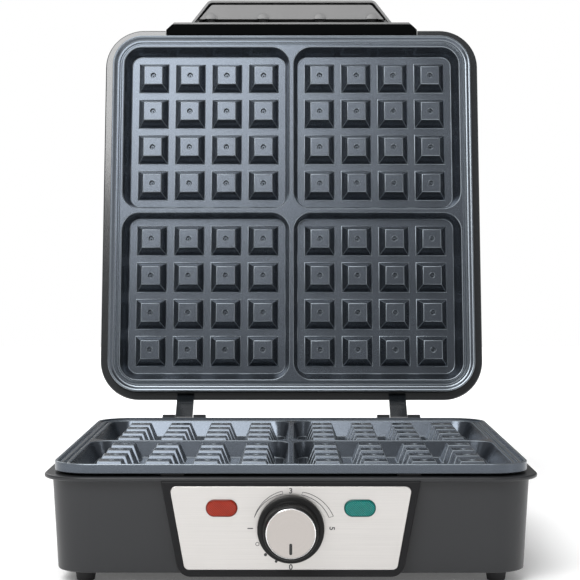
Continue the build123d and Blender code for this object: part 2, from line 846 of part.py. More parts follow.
with BuildPart() as lid_frame:
    with BuildSketch(lid_face.offset(-flange_bottom)):
        ring(flange_half)
    extrude(amount=flange_thick)
    fillet(lid_frame.edges().filter_by(Axis(lid_face.origin, lid_face.z_dir), reverse=True), edge_round)
    with BuildSketch(lid_face.offset(-flange_bottom)):
        ring(lid_wall_half - wall - lid_fit)
    extrude(amount=-(upstand_depth - flange_bottom))
    with BuildSketch(lid_face.offset(-flange_bottom)):
        ring(lid_wall_half - wall - lid_fit - upstand)
    extrude(amount=-(upstand_depth - flange_bottom), mode=Mode.SUBTRACT)
    with BuildSketch(lid_face.offset(-block_top)):
        with Locations((0, -(lid_wall_half - wall - lid_fit - lid_screw_block / 2))):
            with GridLocations(2 * lid_screw_x, 1, 2, 1):
                Rectangle(lid_screw_block_width, lid_screw_block)
    extrude(amount=-(lid_screw_depth + 2 * screw_radius - block_top))
    for low, width in arm_slices:
        with BuildSketch(Plane(origin=lid_side.origin + Vector(low, 0, 0), x_dir=lid_up, z_dir=(1, 0, 0))):
            with Locations((-hinge_y, lid_hinge_drop)):
                Circle(knuckle_radius)
            with Locations((arm_root / 2 + wall - flange_half, -(flange_drop + flange_bottom) / 2)):
                Rectangle(arm_root, flange_thick)
            make_hull()
        extrude(amount=width)
        with BuildSketch(Plane.YZ.offset(low)):
            with Locations((hinge_y, hinge_z)):
                Rectangle(2 * stop_half, stop_length, align=(Align.CENTER, Align.MAX))
        extrude(amount=width)
    for low, width in arm_slices:
        arm_hole = housing_bore(Plane.YZ.offset(low), [(hinge_y, hinge_z)], pin_radius + pin_fit, width)
        add(arm_hole, mode=Mode.SUBTRACT)
    with BuildSketch(lid_face):
        ring(opening_half)
    extrude(amount=-flange_bottom, mode=Mode.SUBTRACT)
    with BuildSketch(lid_face):
        with Locations((0, bar_back)):
            Rectangle(2 * (bar_half + knuckle_gap), 2 * bar_thick, align=(Align.CENTER, Align.MIN))
    extrude(amount=-flange_bottom, mode=Mode.SUBTRACT)
    add(deck_pads(lid_face))
    block_holes = housing_bore(lid_rear, lid_screw_places, thread_radius, wall + screw_bite)
    add(block_holes, mode=Mode.SUBTRACT)

with BuildPart() as lid_hollow:
    with BuildSketch(lid_face.offset(-flange_bottom)):
        ring(lid_wall_half - wall)
    extrude(amount=-(lid_depth - wall - flange_bottom))
    fillet(lid_hollow.faces().sort_by(Axis(lid_face.origin, lid_face.z_dir))[0].edges(), lid_crown - wall)

with BuildPart() as lid_cover:
    with BuildSketch(lid_face.offset(-flange_bottom)):
        ring(lid_wall_half)
    extrude(amount=-(lid_depth - flange_bottom))
    fillet(lid_cover.faces().sort_by(Axis(lid_face.origin, lid_face.z_dir))[0].edges(), lid_crown)
    with BuildSketch(lid_face.offset(-lid_depth)):
        RectangleRounded(2 * lid_panel_half, 2 * lid_panel_half, lid_crown)
    extrude(amount=-lid_panel_rise)
    fillet(lid_cover.faces().sort_by(Axis(lid_face.origin, lid_face.z_dir))[0].edges(), lid_panel_round)
    add(lid_hollow.part, mode=Mode.SUBTRACT)
    add(housing_bore(lid_rear, lid_screw_places, hole_radius, wall), mode=Mode.SUBTRACT)
    add(housing_bore(handle_seat, handle_screw_places, hole_radius, -wall), mode=Mode.SUBTRACT)
lid_screws = screws(lid_rear, lid_screw_places, wall + screw_bite)

# ---- handle: bar, grip, cover, screws from inside the lid ----

with BuildPart() as handle_bar:
    with BuildSketch(lid_face.offset(-bar_high)) as bar_outline:
        with Locations((0, bar_back)):
            Rectangle(2 * bar_half, bar_thick, align=(Align.CENTER, Align.MIN))
        chamfer(bar_outline.vertices().group_by(Axis.Y)[-1], bar_chamfer)
    extrude(amount=-(bar_low - bar_high))
    fillet(handle_bar.faces().sort_by(Axis(lid_face.origin, lid_face.y_dir))[-1].edges(), edge_round)
    bar_holes = housing_bore(handle_seat, handle_screw_places, hole_radius, bar_thick)
    add(bar_holes, mode=Mode.SUBTRACT)

grip_slope = (grip_root_half - grip_tip_half) / grip_reach
grip_tip = bar_front + grip_reach


def grip_outline(inset, root):
    """Draw the handle's trapezoid in the lid's face plane, moved inwards by inset, from root outwards."""
    side = inset * (1 + grip_slope**2) ** 0.5
    tip = grip_tip - inset
    root_half = grip_root_half - grip_slope * (root - bar_front) - side
    tip_half = grip_tip_half + grip_slope * inset - side
    with BuildSketch() as outline:
        with BuildLine():
            Polyline((-root_half, root), (-tip_half, tip), (tip_half, tip), (root_half, root), close=True)
        make_face()
        fillet(outline.vertices().group_by(Axis.Y)[-1], grip_corner - inset)
    return outline.sketch


cover_root = bar_front + grip_neck
cover_level = grip_high + handle_cover_sink
with BuildPart() as handle_grip:
    with BuildSketch(lid_face.offset(-grip_high)):
        add(grip_outline(0, bar_front))
    extrude(amount=-(grip_low - grip_high))
    low_face = handle_grip.faces().sort_by(Axis(lid_face.origin, lid_face.z_dir))[0]
    root_edges = low_face.edges().sort_by(Axis(lid_face.origin, lid_face.y_dir))[:1]
    fillet(low_face.edges() - root_edges, grip_corner)
    with BuildSketch(lid_face.offset(-grip_high)):
        add(grip_outline(grip_wall, bar_front + grip_wall))
    extrude(amount=-(handle_cover_sink + handle_cover_thick), mode=Mode.SUBTRACT)
    with BuildSketch(lid_face.offset(-grip_high)):
        add(grip_outline(2 * grip_wall, bar_front + grip_wall))
    extrude(amount=-(grip_low - grip_high - 2 * grip_wall), mode=Mode.SUBTRACT)
    with BuildSketch(handle_front):
        with Locations(*handle_screw_places):
            Circle(handle_boss_radius)
    extrude(amount=screw_bite + grip_wall)
    grip_holes = housing_bore(handle_front, handle_screw_places, thread_radius, screw_bite + grip_wall / 2)
    add(grip_holes, mode=Mode.SUBTRACT)

with BuildPart() as handle_cover:
    with BuildSketch(lid_face.offset(-cover_level)):
        add(grip_outline(grip_wall + handle_cover_gap, cover_root))
    extrude(amount=-(handle_cover_thick - sheet_gap))
    with BuildSketch(lid_face.offset(-cover_level)):
        with Locations(*[(x, cover_root) for x, level in handle_screw_places]):
            Circle(handle_pad_radius)
        with Locations((0, cover_root)):
            Rectangle(2 * grip_root_half, grip_neck, align=(Align.CENTER, Align.MAX), mode=Mode.SUBTRACT)
    extrude(amount=handle_pad_rise)

handle_screws = screws(
    handle_seat.offset(-wall),
    handle_screw_places,
    wall + bar_thick + screw_bite,
)

# ---- cord inlet and what lies inside the base ----

with BuildPart() as cord_gland:
    with BuildSketch(gland_plane):
        with Locations((gland_x, gland_height)):
            Circle(gland_flange)
    extrude(amount=-gland_flange_thick)
    with BuildSketch(Plane.XZ.offset(-gland_seat - gland_flange_thick)):
        with Locations((gland_x, gland_height)):
            Circle(gland_radius)
    with BuildSketch(Plane.XZ.offset(-gland_seat - gland_flange_thick - gland_tail)):
        with Locations((gland_x, gland_height)):
            Circle(gland_tip_radius)
    loft()
    with BuildSketch(Plane.XZ.offset(-gland_seat)):
        with Locations((gland_x, gland_height)):
            Circle(gland_neck)
    extrude(amount=gland_flange)
    with BuildSketch(Plane.XZ.offset(gland_flange - gland_seat)):
        with Locations((gland_x, gland_height)):
            Circle(gland_bore)
    extrude(amount=-(gland_flange + gland_flange_thick + gland_tail), mode=Mode.SUBTRACT)

block_length, block_width, block_height = terminal_block_size
with BuildPart() as terminal_block:
    with BuildSketch(Plane.XY.offset(cover_top)):
        with Locations(terminal_block_at):
            Rectangle(block_length, block_width)
    extrude(amount=block_height)
    with BuildSketch(Plane.XY.offset(cover_top + block_height)):
        with Locations(terminal_block_at):
            with GridLocations(lead_pitch, block_width / 2, 3, 2):
                Circle(thread_radius)
    extrude(amount=-block_height / 3, mode=Mode.SUBTRACT)

fuse_z = rim_height - shield_depth - fuse_radius - sheet_gap
with BuildPart() as thermal_fuse:
    with BuildSketch(Plane.YZ.offset(fuse_at[0] - fuse_length / 2)):
        with Locations((fuse_at[1], fuse_z)):
            Circle(fuse_radius)
    extrude(amount=fuse_length)

strap_bore = fuse_radius + sheet_gap
upwards = (Align.CENTER, Align.MIN)
with BuildPart() as strap:
    with BuildSketch(Plane.YZ.offset(fuse_at[0] - fuse_strap / 2)):
        with Locations((fuse_at[1], fuse_z)):
            Circle(strap_bore + fuse_strap_thick)
        with Locations((fuse_at[1], rim_height - shield_depth)):
            Rectangle(fuse_strap_length, fuse_strap_thick, align=(Align.CENTER, Align.MAX))
            Rectangle(fuse_strap_length, 2 * fuse_radius, align=upwards, mode=Mode.SUBTRACT)
        with Locations((fuse_at[1], fuse_z)):
            Circle(strap_bore, mode=Mode.SUBTRACT)
            Rectangle(2 * strap_bore, 2 * strap_bore, align=upwards, mode=Mode.SUBTRACT)
    extrude(amount=fuse_strap)

# ---- leads between the block, the fuse, the thermostat and the lower element's pins ----

block_x, block_y = terminal_block_at
pin_x = element_span / 2
pin_y = element_reach + terminal_length / 2
pin_level = rim_height - element_depth - terminal_radius
lead_level = cover_top + block_height / 2
thermostat_back = thermostat_face - thermostat_depth
lead_routes = {
    "fuse_lead": [
        (block_x - lead_pitch, block_y - block_width / 2, lead_level),
        (block_x - lead_pitch, fuse_at[1], lead_level),
        (block_x - lead_pitch, fuse_at[1], fuse_z),
        (fuse_at[0] + fuse_length / 2, fuse_at[1], fuse_z),
    ],
    "thermostat_lead": [
        (fuse_at[0] - fuse_length / 2, fuse_at[1], fuse_z),
        (fuse_at[0] - lead_side, fuse_at[1], fuse_z),
        (fuse_at[0] - lead_side, fuse_at[1] - lead_side, lead_level),
        (fuse_at[0] - lead_side, lead_side - thermostat_back, lead_level),
        (-lead_spread, lead_side / 2 - thermostat_back, knob_height),
        (-lead_spread, -thermostat_back, knob_height),
    ],
    "element_lead": [
        (lead_spread, -thermostat_back, knob_height),
        (lead_spread, lead_side - thermostat_back, knob_height),
        (block_x + lead_side + lead_spread, 2 * lead_side - thermostat_back, lead_level),
        (block_x + lead_side + lead_spread, block_y, lead_level),
        (pin_x, pin_y, lead_level),
        (pin_x, pin_y, pin_level),
    ],
    "neutral_lead": [
        (block_x - lead_pitch, block_y + block_width / 2, lead_level),
        (block_x - lead_pitch, pin_y, lead_level),
        (-pin_x, pin_y, lead_level),
        (-pin_x, pin_y, pin_level),
    ],
}
leads = {}
for lead_name, route in lead_routes.items():
    with BuildLine() as lead_line:
        FilletPolyline(*route, radius=lead_bend)
    with BuildPart() as lead:
        with BuildSketch(Plane(origin=lead_line.line @ 0, z_dir=lead_line.line % 0)):
            Circle(lead_radius)
        sweep(path=lead_line.line)
    leads[lead_name] = lead.part

# ---- write every piece ----

os.makedirs("parts", exist_ok=True)
pieces = {
    "base_housing": base_housing.part,
    "panel_surround": panel_surround.part,
    "inlet_block": inlet_block.part,
    "bottom_cover": bottom_cover.part,
    "bottom_cover_screws": bottom_cover_screws,
    "front_panel": front_panel.part,
    "power_lamp_lens": lenses[0],
    "ready_lamp_lens": lenses[1],
    "power_lamp_holder": holders[0],
    "ready_lamp_holder": holders[1],
    "power_lamp_neon": neons[0],
    "ready_lamp_neon": neons[1],
    "thermostat": thermostat.part,
    "thermostat_bracket": thermostat_bracket.part,
    "bracket_screws": bracket_screws,
    "thermostat_shaft": thermostat_shaft.part,
    "control_knob": control_knob.part,
    "knob_cap": knob_cap.part,
    "knob_pointer": knob_pointer.part,
    "lower_plate": lower_plate,
    "lower_element": lower_element,
    "lower_shield": lower_shield,
    "lower_plate_screws": lower_plate_screws,
    "upper_plate": upper_plate,
    "upper_element": upper_element,
    "upper_shield": upper_shield,
    "upper_plate_screws": upper_plate_screws,
    "hinge_pin_left": pins[0],
    "hinge_pin_right": pins[1],
    "lid_frame": lid_frame.part,
    "lid_cover": lid_cover.part,
    "lid_screws": lid_screws,
    "handle_bar": handle_bar.part,
    "handle_grip": handle_grip.part,
    "handle_cover": handle_cover.part,
    "handle_screws": handle_screws,
    "cord_gland": cord_gland.part,
    "terminal_block": terminal_block.part,
    "thermal_fuse": thermal_fuse.part,
    "fuse_strap": strap.part,
    **leads,
    **dict(zip(foot_names, feet)),
}
for name, piece in pieces.items():
    piece.label = name
    export_step(piece, f"parts/{name}.step")
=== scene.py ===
"""Looks of a four-slice waffle maker: finishes, castings, handle, panel, lamps, knob, screws and feet.

Every length is in metres unless its name ends in another unit. +X is the user's right, +Y points to the
hinge at the back and +Z points up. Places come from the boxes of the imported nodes.
"""

import json
import logging
from collections.abc import Callable
from dataclasses import dataclass, field
from enum import Enum
from math import atan2, cos, pi, radians, sin

import bmesh
import bpy
from mathutils import Matrix, Vector

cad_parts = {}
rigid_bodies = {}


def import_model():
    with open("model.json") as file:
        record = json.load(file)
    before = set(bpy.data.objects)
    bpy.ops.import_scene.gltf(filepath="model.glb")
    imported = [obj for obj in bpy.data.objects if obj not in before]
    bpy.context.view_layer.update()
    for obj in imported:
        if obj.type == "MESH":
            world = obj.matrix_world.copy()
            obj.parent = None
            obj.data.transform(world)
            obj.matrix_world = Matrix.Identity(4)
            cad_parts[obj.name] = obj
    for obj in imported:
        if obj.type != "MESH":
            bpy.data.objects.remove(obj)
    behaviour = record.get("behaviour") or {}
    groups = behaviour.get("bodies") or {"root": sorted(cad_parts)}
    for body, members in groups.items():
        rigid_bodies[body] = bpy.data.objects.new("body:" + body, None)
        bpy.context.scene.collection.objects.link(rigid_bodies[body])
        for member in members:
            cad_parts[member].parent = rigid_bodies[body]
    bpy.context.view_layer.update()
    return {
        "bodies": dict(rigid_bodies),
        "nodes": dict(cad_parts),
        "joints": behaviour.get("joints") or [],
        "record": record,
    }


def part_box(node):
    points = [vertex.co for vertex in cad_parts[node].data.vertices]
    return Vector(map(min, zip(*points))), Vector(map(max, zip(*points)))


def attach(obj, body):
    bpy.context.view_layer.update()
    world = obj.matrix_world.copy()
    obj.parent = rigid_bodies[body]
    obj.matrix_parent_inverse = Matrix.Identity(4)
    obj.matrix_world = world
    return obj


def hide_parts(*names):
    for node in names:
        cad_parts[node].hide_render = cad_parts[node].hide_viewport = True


log = logging.getLogger("waffle_maker")
MM = 0.001
JOIN_DISTANCE = 2e-6
SEAM_DISTANCE = 1e-6
TINY = 1e-7
FRONT = Vector((0, -1, 0))
UPRIGHT = Vector((0, 0, 1))
STAND_UP = Matrix.Rotation(pi / 2, 4, "X")
at = Matrix.Translation

Triple = tuple[float, float, float]
Colour = Triple
Pair = tuple[float, float]
Box = tuple[Vector, Vector]
Piece = bpy.types.Object
Mesh = bmesh.types.BMesh
Corners = list[bmesh.types.BMVert]


def configured(item: object, **settings: object) -> object:
    """Set several properties of an item, and give it back."""
    for key, setting in settings.items():
        setattr(item, key, setting)
    return item


# ---- shader trees ----


def operator(operation: str) -> Callable:
    """Make a method that adds a Math node for the value and one operand."""
    return lambda value, other: value.math(operation, other)


class Value:
    """An output socket of a shader tree, with arithmetic that adds Math nodes.

    above gives 1 where the value is greater than a level and 0 elsewhere; at_least gives the greater of two.
    """

    __add__ = __radd__ = operator("ADD")
    __sub__ = operator("SUBTRACT")
    __mul__ = __rmul__ = operator("MULTIPLY")
    __truediv__ = operator("DIVIDE")
    __pow__ = operator("POWER")
    above = operator("GREATER_THAN")
    at_least = operator("MAXIMUM")

    def __init__(self, surface: "Surface", socket: bpy.types.NodeSocket) -> None:
        """Keep the tree that the socket belongs to."""
        self.surface = surface
        self.socket = socket

    def __rsub__(self, other: float) -> "Value":
        """Take this away from a number."""
        return self * -1.0 + other

    def math(self, operation: str, *others: "Value | float") -> "Value":
        """Add a Math node.

        Args:
            operation: The node's operation.
            others: The second and third operands, where the operation has them.

        Returns:
            The node's output.
        """
        return self.surface.value("ShaderNodeMath", dict(enumerate((self, *others))), operation=operation)


class Surface:
    """The shader tree of a material or of the surroundings."""

    def __init__(self, owner: bpy.types.Material | bpy.types.World) -> None:
        """Keep what the tree belongs to, and empty it."""
        self.owner = owner
        owner.use_nodes = True
        self.tree = owner.node_tree
        self.tree.nodes.clear()

    def node(self, kind: str, inputs: dict, **settings: object) -> bpy.types.Node:
        """Add a node.

        Args:
            kind: The node's type.
            inputs: Values or links of its sockets, by name or number.
            settings: Its properties, which are set first.

        Returns:
            The new node.
        """
        made = configured(self.tree.nodes.new(kind), **settings)
        for key, value in inputs.items():
            if isinstance(value, Value):
                self.tree.links.new(value.socket, made.inputs[key])
            else:
                made.inputs[key].default_value = value
        return made

    def value(self, kind: str, inputs: dict, output: int | str = 0, **settings: object) -> Value:
        """Add a node and wrap one of its outputs."""
        return Value(self, self.node(kind, inputs, **settings).outputs[output])

    def place(self) -> Value:
        """Give the point's place in the object's own coordinates."""
        return self.value("ShaderNodeTexCoord", {}, "Object")

    def vector(self, operation: str, *operands: Value | Triple, output: str = "Vector") -> Value:
        """Add a Vector Math node."""
        return self.value("ShaderNodeVectorMath", dict(enumerate(operands)), output, operation=operation)

    def face_axes(self, centre: Triple) -> tuple[Value, Value]:
        """Give the distances from a centre along X and Z."""
        away = self.vector("SUBTRACT", self.place(), centre)
        parts = self.node("ShaderNodeSeparateXYZ", {0: away})
        return Value(self, parts.outputs["X"]), Value(self, parts.outputs["Z"])

    def noise(
        self, scale: float, detail: float = 2.0, rough: float = 0.5, vector: Value | None = None
    ) -> Value:
        """Give a noise from 0 to 1, over the place unless a vector is given."""
        inputs = {"Vector": vector or self.place(), "Scale": scale, "Detail": detail, "Roughness": rough}
        return self.value("ShaderNodeTexNoise", inputs, noise_dimensions="3D")

    def blend(self, amount: Value, low: Colour | Value, high: Colour | Value) -> Value:
        """Mix two colours by an amount from 0 to 1."""
        first, second = (end if isinstance(end, Value) else (*end, 1.0) for end in (low, high))
        inputs = {0: amount, 6: first, 7: second}
        return self.value("ShaderNodeMix", inputs, 2, data_type="RGBA", clamp_factor=True)

    def bump(self, height: Value, depth: float) -> Value:
        """Turn a height from 0 to 1 into a normal."""
        return self.value("ShaderNodeBump", {"Height": height, "Distance": depth}, "Normal")

    def finish(self, inputs: dict) -> bpy.types.Material:
        """Close a material's tree with a Principled shader and an output."""
        shader = self.value("ShaderNodeBsdfPrincipled", inputs, "BSDF")
        self.node("ShaderNodeOutputMaterial", {"Surface": shader})
        return self.owner


class Brush(Enum):
    """Direction of a metal's brush marks, as marks per metre along each axis."""

    ALONG_X = (18.0, 2600.0, 2600.0)
    ALONG_Y = (2600.0, 18.0, 2600.0)
    FINE = (900.0, 900.0, 900.0)


def shade(colour: Colour, factor: float) -> Colour:
    """Lighten or darken a colour by a factor."""
    return tuple(min(1.0, part * factor) for part in colour)


@dataclass(frozen=True)
class Finish:
    """A kind of material with a name and a main colour."""

    name: str
    colour: Colour

    def build(self) -> bpy.types.Material:
        """Make the material."""
        surface = Surface(bpy.data.materials.new(self.name))
        return surface.finish(self.inputs(surface))

    def inputs(self, surface: Surface) -> dict:
        """Give the shader's inputs."""
        raise NotImplementedError

    def tone(self, surface: Surface, amount: Value, low: float, high: float) -> Value:
        """Blend between two shades of the colour, given as factors."""
        return surface.blend(amount, shade(self.colour, low), shade(self.colour, high))


@dataclass(frozen=True)
class MouldedPlastic(Finish):
    """Moulded plastic with a fine spark-eroded grain, slightly polished where hands touch it."""

    roughness: float = 0.42
    grain: float = 0.35 * MM
    relief: float = 0.012 * MM
    coat: float = 0.0
    shine: float = 0.5

    def inputs(self, surface: Surface) -> dict:
        """Give the shader's inputs."""
        grain = surface.noise(1 / self.grain, 3.0, 0.6)
        cloud = surface.noise(14.0)
        rub = surface.noise(60.0, 4.0, 0.65)
        return {
            "Base Color": self.tone(surface, cloud, 0.86, 1.14),
            "Roughness": self.roughness - 0.05 + 0.06 * rub + 0.05 * grain,
            "Coat Weight": self.coat,
            "Specular IOR Level": self.shine,
            "Coat Roughness": 0.12,
            "Normal": surface.bump(grain, self.relief),
        }


@dataclass(frozen=True)
class NonStickCoating(Finish):
    """Dark sprayed coating on cast aluminium, with a fine speckle and a satin sheen."""

    colour: Colour = (0.088, 0.102, 0.122)
    fleck: Colour = (0.30, 0.33, 0.37)
    flecks_per_metre: float = 1500.0
    fleck_size: float = 0.17
    roughness: float = 0.23

    def inputs(self, surface: Surface) -> dict:
        """Give the shader's inputs."""
        grain = surface.noise(2600.0, 3.0, 0.65)
        cloud = surface.noise(26.0, 3.0)
        cells = {"Vector": surface.place(), "Scale": self.flecks_per_metre}
        nearest = surface.value("ShaderNodeTexVoronoi", cells, feature="F1")
        speck = ((self.fleck_size - nearest) * 9.0).at_least(0.0)
        ground = self.tone(surface, cloud, 0.88, 1.12)
        return {
            "Base Color": surface.blend(speck * 0.5, ground, self.fleck),
            "Metallic": 0.85,
            "Roughness": self.roughness - 0.06 + 0.07 * cloud + 0.1 * grain,
            "Specular IOR Level": 0.6,
            "Normal": surface.bump(grain, 0.011 * MM),
        }


@dataclass(frozen=True)
class BrushedMetal(Finish):
    """Metal with brush marks along one direction and a faint uneven tint."""

    brush: Brush = Brush.ALONG_X
    roughness: float = 0.32
    relief: float = 0.006 * MM
    contrast: float = 0.10

    def inputs(self, surface: Surface) -> dict:
        """Give the shader's inputs."""
        marks = surface.vector("MULTIPLY", surface.place(), self.brush.value)
        streaks = surface.noise(1.0, 4.0, 0.7, marks)
        cloud = surface.noise(22.0)
        tint = self.tone(surface, streaks, 1 - self.contrast, 1 + self.contrast)
        return {
            "Base Color": surface.blend(cloud * 0.12, tint, shade(self.colour, 0.7)),
            "Metallic": 1.0,
            "Roughness": self.roughness - 0.08 + 0.12 * streaks + 0.05 * cloud,
            "Normal": surface.bump(streaks, self.relief),
        }


@dataclass(frozen=True)
class SpunMetal(Finish):
    """Metal turned on a lathe, with rings around an axis that runs along Y, and a smoother rim with a
    painted highlight.
    """

    centre: Triple
    rim_radius: float
    rim_highlight_colour: Colour = (0.9, 0.9, 0.9)
    rings_per_metre: float = 5200.0
    roughness: float = 0.3

    def inputs(self, surface: Surface) -> dict:
        """Give the shader's inputs."""
        across, height = surface.face_axes(self.centre)
        radius = (across * across + height * height) ** 0.5
        coordinates = {0: radius * self.rings_per_metre, 1: height * 60.0}
        grooves = surface.noise(1.0, 3.0, 0.6, surface.value("ShaderNodeCombineXYZ", coordinates))
        # Beyond rim_radius the colour paints a highlight, and the roughness drops for a polished rim.
        rim = radius.above(self.rim_radius)
        return {
            "Base Color": surface.blend(rim, self.tone(surface, grooves, 0.9, 1.06), self.rim_highlight_colour),
            "Metallic": 1.0,
            "Roughness": (self.roughness + 0.1 * grooves) * (1.0 - 0.6 * rim),
            "Normal": surface.bump(grooves, 0.004 * MM),
        }


@dataclass(frozen=True)
class TintedLens(Finish):
    """Clear tinted plastic over a reflector, with painted shade in diagonal rows for its prisms, and darker
    near its edge.
    """

    box: Box | None = None
    glow: float = 0.15
    row_pitch: float = 1.15 * MM
    prism_shade_depth: float = 0.85
    edge_width: float = 0.8 * MM
    edge_darkening: float = 0.7

    def inputs(self, surface: Surface) -> dict:
        """Give the shader's inputs."""
        depth = surface.noise(420.0)
        tone = self.tone(surface, depth, 0.75, 1.25)
        if self.box:
            tone = self.prisms(surface, tone)
        return {
            "Base Color": tone,
            "Roughness": 0.10 + 0.08 * depth,
            "Coat Weight": 0.3,
            "Coat Roughness": 0.03,
            "Specular IOR Level": 0.12,
            "Emission Color": tone,
            "Emission Strength": self.glow,
        }

    def prisms(self, surface: Surface, tone: Value) -> Value:
        """Paint shade along diagonal rows, standing for the prisms' shading, and darken the tone near the
        lens's edge.
        """
        low, high = self.box
        half = (high.z - low.z) / 2
        flat = (high.x - low.x) / 2 - half
        along, height = surface.face_axes(tuple((low + high) / 2))
        # Painted shade: diagonal stripes that stand for the shading of the prism rows.
        rows = ((along + height) * (2 * pi / self.row_pitch)).math("SINE") * 0.5 + 0.5
        past = (along.math("ABSOLUTE") - flat).at_least(0.0)
        # Darker within edge_width of the lens's edge.
        edge = ((past * past + height * height) ** 0.5).above(half - self.edge_width)
        ribbed = surface.blend(rows * self.prism_shade_depth, tone, shade(self.colour, 0.15))
        return surface.blend(edge * self.edge_darkening, ribbed, shade(self.colour, 0.2))


@dataclass(frozen=True)
class SoftRubber(Finish):
    """Matt moulded rubber or sleeving."""

    roughness: float = 0.72

    def inputs(self, surface: Surface) -> dict:
        """Give the shader's inputs."""
        grain = surface.noise(3200.0, 3.0, 0.6)
        dust = surface.noise(160.0, 4.0, 0.7)
        return {
            "Base Color": self.tone(surface, dust, 0.8, 1.3),
            "Roughness": self.roughness + 0.12 * dust,
            "Normal": surface.bump(grain, 0.01 * MM),
        }


@dataclass(frozen=True)
class GlazedCeramic(Finish):
    """Pressed ceramic of a thermostat, fuse or terminal block."""

    roughness: float = 0.5

    def inputs(self, surface: Surface) -> dict:
        """Give the shader's inputs."""
        pores = surface.noise(1400.0, 4.0, 0.7)
        return {
            "Base Color": self.tone(surface, pores, 0.85, 1.0),
            "Roughness": self.roughness + 0.2 * pores,
            "Normal": surface.bump(pores, 0.02 * MM),
        }


@dataclass(frozen=True)
class PrintedInk(Finish):
    """Thin screen-printed ink."""

    colour: Colour = (0.03, 0.03, 0.032)

    def inputs(self, surface: Surface) -> dict:
        """Give the shader's inputs."""
        cover = surface.noise(4000.0)
        return {"Base Color": self.tone(surface, cover, 1.0, 2.0), "Roughness": 0.45 + 0.1 * cover}


class Finishes:
    """Every finish of the object, made once and handed out by slot name."""

    def __init__(self, knob_centre: Vector) -> None:
        """Make the finishes, with the spun cap's rings around the knob's axis."""
        red_box, green_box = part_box("power_lamp_lens"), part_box("ready_lamp_lens")
        steel = (0.62, 0.62, 0.62)
        kinds = [
            MouldedPlastic("housing_black", (0.017, 0.018, 0.020), 0.38, shine=0.42),
            MouldedPlastic("surround_black", (0.007, 0.007, 0.008), 0.45, shine=0.2),
            MouldedPlastic("cover_black", (0.020, 0.020, 0.021), 0.55, 0.5 * MM),
            MouldedPlastic("lid_black", (0.010, 0.012, 0.014), 0.18, coat=0.85),
            MouldedPlastic("handle_black", (0.0008, 0.001, 0.0012), 0.6, shine=0.03),
            MouldedPlastic("handle_grey", (0.17, 0.17, 0.17), 0.40),
            MouldedPlastic("knob_black", (0.006, 0.006, 0.006), 0.42, shine=0.24),
            MouldedPlastic("pointer_black", (0.012, 0.012, 0.012), 0.4),
            MouldedPlastic("holder_white", (0.72, 0.71, 0.68), 0.45),
            NonStickCoating("nonstick"),
            BrushedMetal("panel_steel", (0.66, 0.64, 0.62), Brush.ALONG_X, 0.36, contrast=0.14),
            BrushedMetal("screw_steel", steel, Brush.FINE, 0.3),
            BrushedMetal("zinc_sheet", (0.6, 0.61, 0.63), Brush.FINE, 0.38, contrast=0.2),
            BrushedMetal("element_steel", (0.36, 0.34, 0.31), Brush.ALONG_X, 0.45),
            BrushedMetal("shield_sheet", (0.66, 0.66, 0.66), Brush.ALONG_Y, 0.34),
            BrushedMetal("pin_steel", steel, Brush.FINE, 0.25),
            BrushedMetal("shaft_brass", (0.72, 0.54, 0.26), Brush.FINE, 0.3),
            SpunMetal("cap_steel", (0.52, 0.485, 0.46), tuple(knob_centre), 11.9 * MM),
            TintedLens("lens_red", (0.36, 0.022, 0.004), red_box),
            TintedLens("lens_green", (0.001, 0.20, 0.175), green_box),
            TintedLens("neon_glass", (0.75, 0.45, 0.3), glow=0.0),
            SoftRubber("gland_rubber", (0.018, 0.018, 0.018)),
            SoftRubber("foot_rubber", (0.016, 0.016, 0.017)),
            SoftRubber("lead_sleeve", (0.62, 0.60, 0.56)),
            GlazedCeramic("ceramic_body", (0.74, 0.70, 0.62)),
            GlazedCeramic("ceramic_block", (0.80, 0.78, 0.72)),
            GlazedCeramic("fuse_body", (0.72, 0.72, 0.68)),
        ]
        self.materials = {kind.name: kind.build() for kind in kinds}
        self.ink = PrintedInk("dial_ink").build()
        # A lighter coating for the plates' rounded edges, which paints a highlight along them.
        self.painted_edge_highlight = NonStickCoating("nonstick_edge_highlight", (0.24, 0.27, 0.30), roughness=0.32).build()


# ---- meshes ----


def add_object(name: str, data: bpy.types.ID) -> Piece:
    """Make an object at the origin and add it to the scene."""
    made = bpy.data.objects.new(name, data)
    bpy.context.scene.collection.objects.link(made)
    return made


def solid(name: str, mesh: Mesh, flip: bool = True) -> Piece:
    """Turn a bmesh into a piece at the origin.

    Args:
        name: The piece's name.
        mesh: The finished bmesh, which is freed.
        flip: Whether its normals are worked out again, so that they point outwards.

    Returns:
        The new object.
    """
    if flip:
        bmesh.ops.recalc_face_normals(mesh, faces=mesh.faces)
    data = bpy.data.meshes.new(name)
    mesh.to_mesh(data)
    mesh.free()
    if data.has_custom_normals:
        data.attributes.remove(data.attributes["custom_normal"])
    return add_object(name, data)


def smooth(piece: Piece, angle_deg: float = 32.0) -> Piece:
    """Shade a piece smoothly, with edges sharper than the angle kept crisp."""
    piece.data.polygons.foreach_set("use_smooth", [True] * len(piece.data.polygons))
    piece.data.set_sharp_from_angle(angle=radians(angle_deg))
    return piece


def worked_out(piece: Piece) -> bpy.types.Mesh:
    """Give a new mesh of a piece, with its modifiers or its curve worked out."""
    graph = bpy.context.evaluated_depsgraph_get()
    return bpy.data.meshes.new_from_object(piece.evaluated_get(graph))


def cut_out(piece: Piece, cutter: Piece, overlapping: bool = False) -> None:
    """Cut one piece out of another and remove it; overlapping says that its own solids cross."""
    cut = piece.modifiers.new("cut", "BOOLEAN")
    configured(cut, operation="DIFFERENCE", solver="EXACT", use_self=overlapping, object=cutter)
    data = worked_out(piece)
    piece.modifiers.clear()
    piece.data = data
    bpy.data.objects.remove(cutter)


